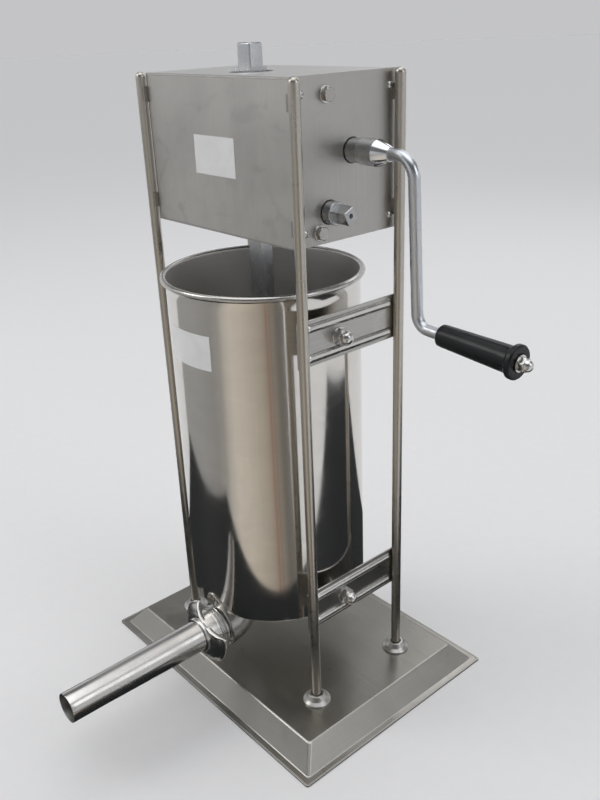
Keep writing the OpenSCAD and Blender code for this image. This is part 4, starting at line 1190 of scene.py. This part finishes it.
fd = Vector((math.sin(YAW), -math.cos(YAW), 0))
rd = Vector((math.cos(YAW), math.sin(YAW), 0))
c0 = Vector((0, BY * MM, 0.0006))


def spot(d, r, z=0.0):
    return tuple(c0 + fd * d + rd * r + Vector((0, 0, z)))


flag("table_flag", [spot(0.345, -0.52), spot(0.345, 1.1), spot(-0.34, 1.1), spot(-0.34, -0.74)], (0.020, 0.0215, 0.023))


def room_card():
    """The room in front of the machine, as its polished steel sees it: warm in the middle, darker to the sides."""
    keys = [(-118, (0.40, 0.40, 0.40)), (-85, (0.38, 0.38, 0.375)), (-64, (0.35, 0.345, 0.335)), (-54, (0.42, 0.405, 0.38)),
            (-48, (0.62, 0.585, 0.53)), (-40, (0.78, 0.72, 0.635)), (-28, (0.74, 0.68, 0.59)), (-16, (0.63, 0.575, 0.49)), (-6, (0.53, 0.47, 0.395)),
            (0, (0.44, 0.375, 0.31)), (2.5, (0.33, 0.21, 0.15)), (4.5, (0.42, 0.35, 0.29)), (6, (0.30, 0.23, 0.18)), (8, (0.34, 0.31, 0.27)),
            (14, (0.21, 0.195, 0.165)), (22, (0.22, 0.21, 0.195))]
    n, ds = 140, (0.3455, 0.8, 1.6, 3.2, 7.0)
    v, cols = [], []
    for k in range(n + 1):
        t = keys[0][0] + (keys[-1][0] - keys[0][0]) * k / n
        for q in range(len(keys) - 1):
            if keys[q][0] <= t <= keys[q + 1][0]:
                w = (t - keys[q][0]) / (keys[q + 1][0] - keys[q][0])
                c = tuple(a + (b - a) * w for a, b in zip(keys[q][1], keys[q + 1][1]))
                break
        th = math.radians(t)
        for d in ds:
            d0 = d / max(math.cos(th), 0.6)
            v.append(spot(d0 * math.cos(th), d0 * math.sin(th), -0.0002))
            cols.append(c)
    m = len(ds)
    f = [(k * m + i, k * m + i + 1, (k + 1) * m + i + 1, (k + 1) * m + i) for k in range(n) for i in range(m - 1)]
    a = Mat("room_card", (0.4, 0.4, 0.4), 0.0, 0.6)
    a.p.inputs["Specular IOR Level"].default_value = 0.1
    at = a.n("ShaderNodeAttribute")
    at.attribute_name = "room"
    g = a.noise((14, 14, 14), 4, 0.6, 0.4)
    dark = a.n("ShaderNodeMix", data_type="RGBA", blend_type="MULTIPLY")
    dark.inputs[0].default_value = 1.0
    a.l(at.outputs["Color"], dark.inputs[6])
    a.l(a.mix(a.rng(g, 0.3, 0.7, 0, 1), (0.94, 0.93, 0.92), (1, 1, 1)), dark.inputs[7])
    a.set_color(dark.outputs[2])
    me = bpy.data.meshes.new("room_card")
    me.from_pydata(v, [], f)
    ca = me.color_attributes.new("room", "FLOAT_COLOR", "POINT")
    for k, c in enumerate(cols):
        ca.data[k].color = (*c, 1)
    me.materials.append(a.m)
    o = bpy.data.objects.new("room_card", me)
    scene.collection.objects.link(o)
    o.visible_camera = o.visible_diffuse = o.visible_shadow = o.visible_transmission = False


room_card()

world = bpy.data.worlds.new("world")
scene.world = world
world.use_nodes = True
nt = world.node_tree
nt.nodes.clear()
wo = nt.nodes.new("ShaderNodeOutputWorld")
bg = nt.nodes.new("ShaderNodeBackground")
nt.links.new(bg.outputs[0], wo.inputs[0])
tc = nt.nodes.new("ShaderNodeTexCoord")
sp = nt.nodes.new("ShaderNodeSeparateXYZ")
nt.links.new(tc.outputs["Generated"], sp.inputs[0])
ramp = nt.nodes.new("ShaderNodeValToRGB")
mr = nt.nodes.new("ShaderNodeMapRange")
mr.inputs["From Min"].default_value, mr.inputs["From Max"].default_value = 0.0, 1.0
nt.links.new(sp.outputs[2], mr.inputs["Value"])
nt.links.new(mr.outputs[0], ramp.inputs[0])
el = ramp.color_ramp.elements
el[0].position, el[0].color = 0.0, (0.56, 0.565, 0.575, 1)
el[1].position, el[1].color = 1.0, (1.65, 1.66, 1.68, 1)
for pos, c in ((0.05, (0.72, 0.725, 0.735)), (0.24, (0.66, 0.665, 0.675)), (0.40, (0.20, 0.20, 0.205)), (0.76, (0.17, 0.17, 0.175)), (0.88, (1.40, 1.41, 1.43))):
    x = el.new(pos)
    x.color = (*c, 1)
# a dim side behind the camera
vd = nt.nodes.new("ShaderNodeVectorMath")
vd.operation = "DOT_PRODUCT"
nt.links.new(tc.outputs["Generated"], vd.inputs[0])
vd.inputs[1].default_value = (0.70, -0.71, 0.0)
mr2 = nt.nodes.new("ShaderNodeMapRange")
for k, x in (("From Min", 0.45), ("From Max", 0.92), ("To Min", 1.0), ("To Max", 0.35)):
    mr2.inputs[k].default_value = x
nt.links.new(vd.outputs["Value"], mr2.inputs["Value"])
mul = nt.nodes.new("ShaderNodeMix")
mul.data_type, mul.blend_type = "RGBA", "MULTIPLY"
mul.inputs[0].default_value = 1.0
nt.links.new(ramp.outputs[0], mul.inputs[6])
nt.links.new(mr2.outputs[0], mul.inputs[7])
nt.links.new(mul.outputs[2], bg.inputs[0])
bg.inputs[1].default_value = 1.0

scene.view_settings.view_transform = "Standard"
scene.view_settings.look = "None"
scene.view_settings.exposure = 0.0
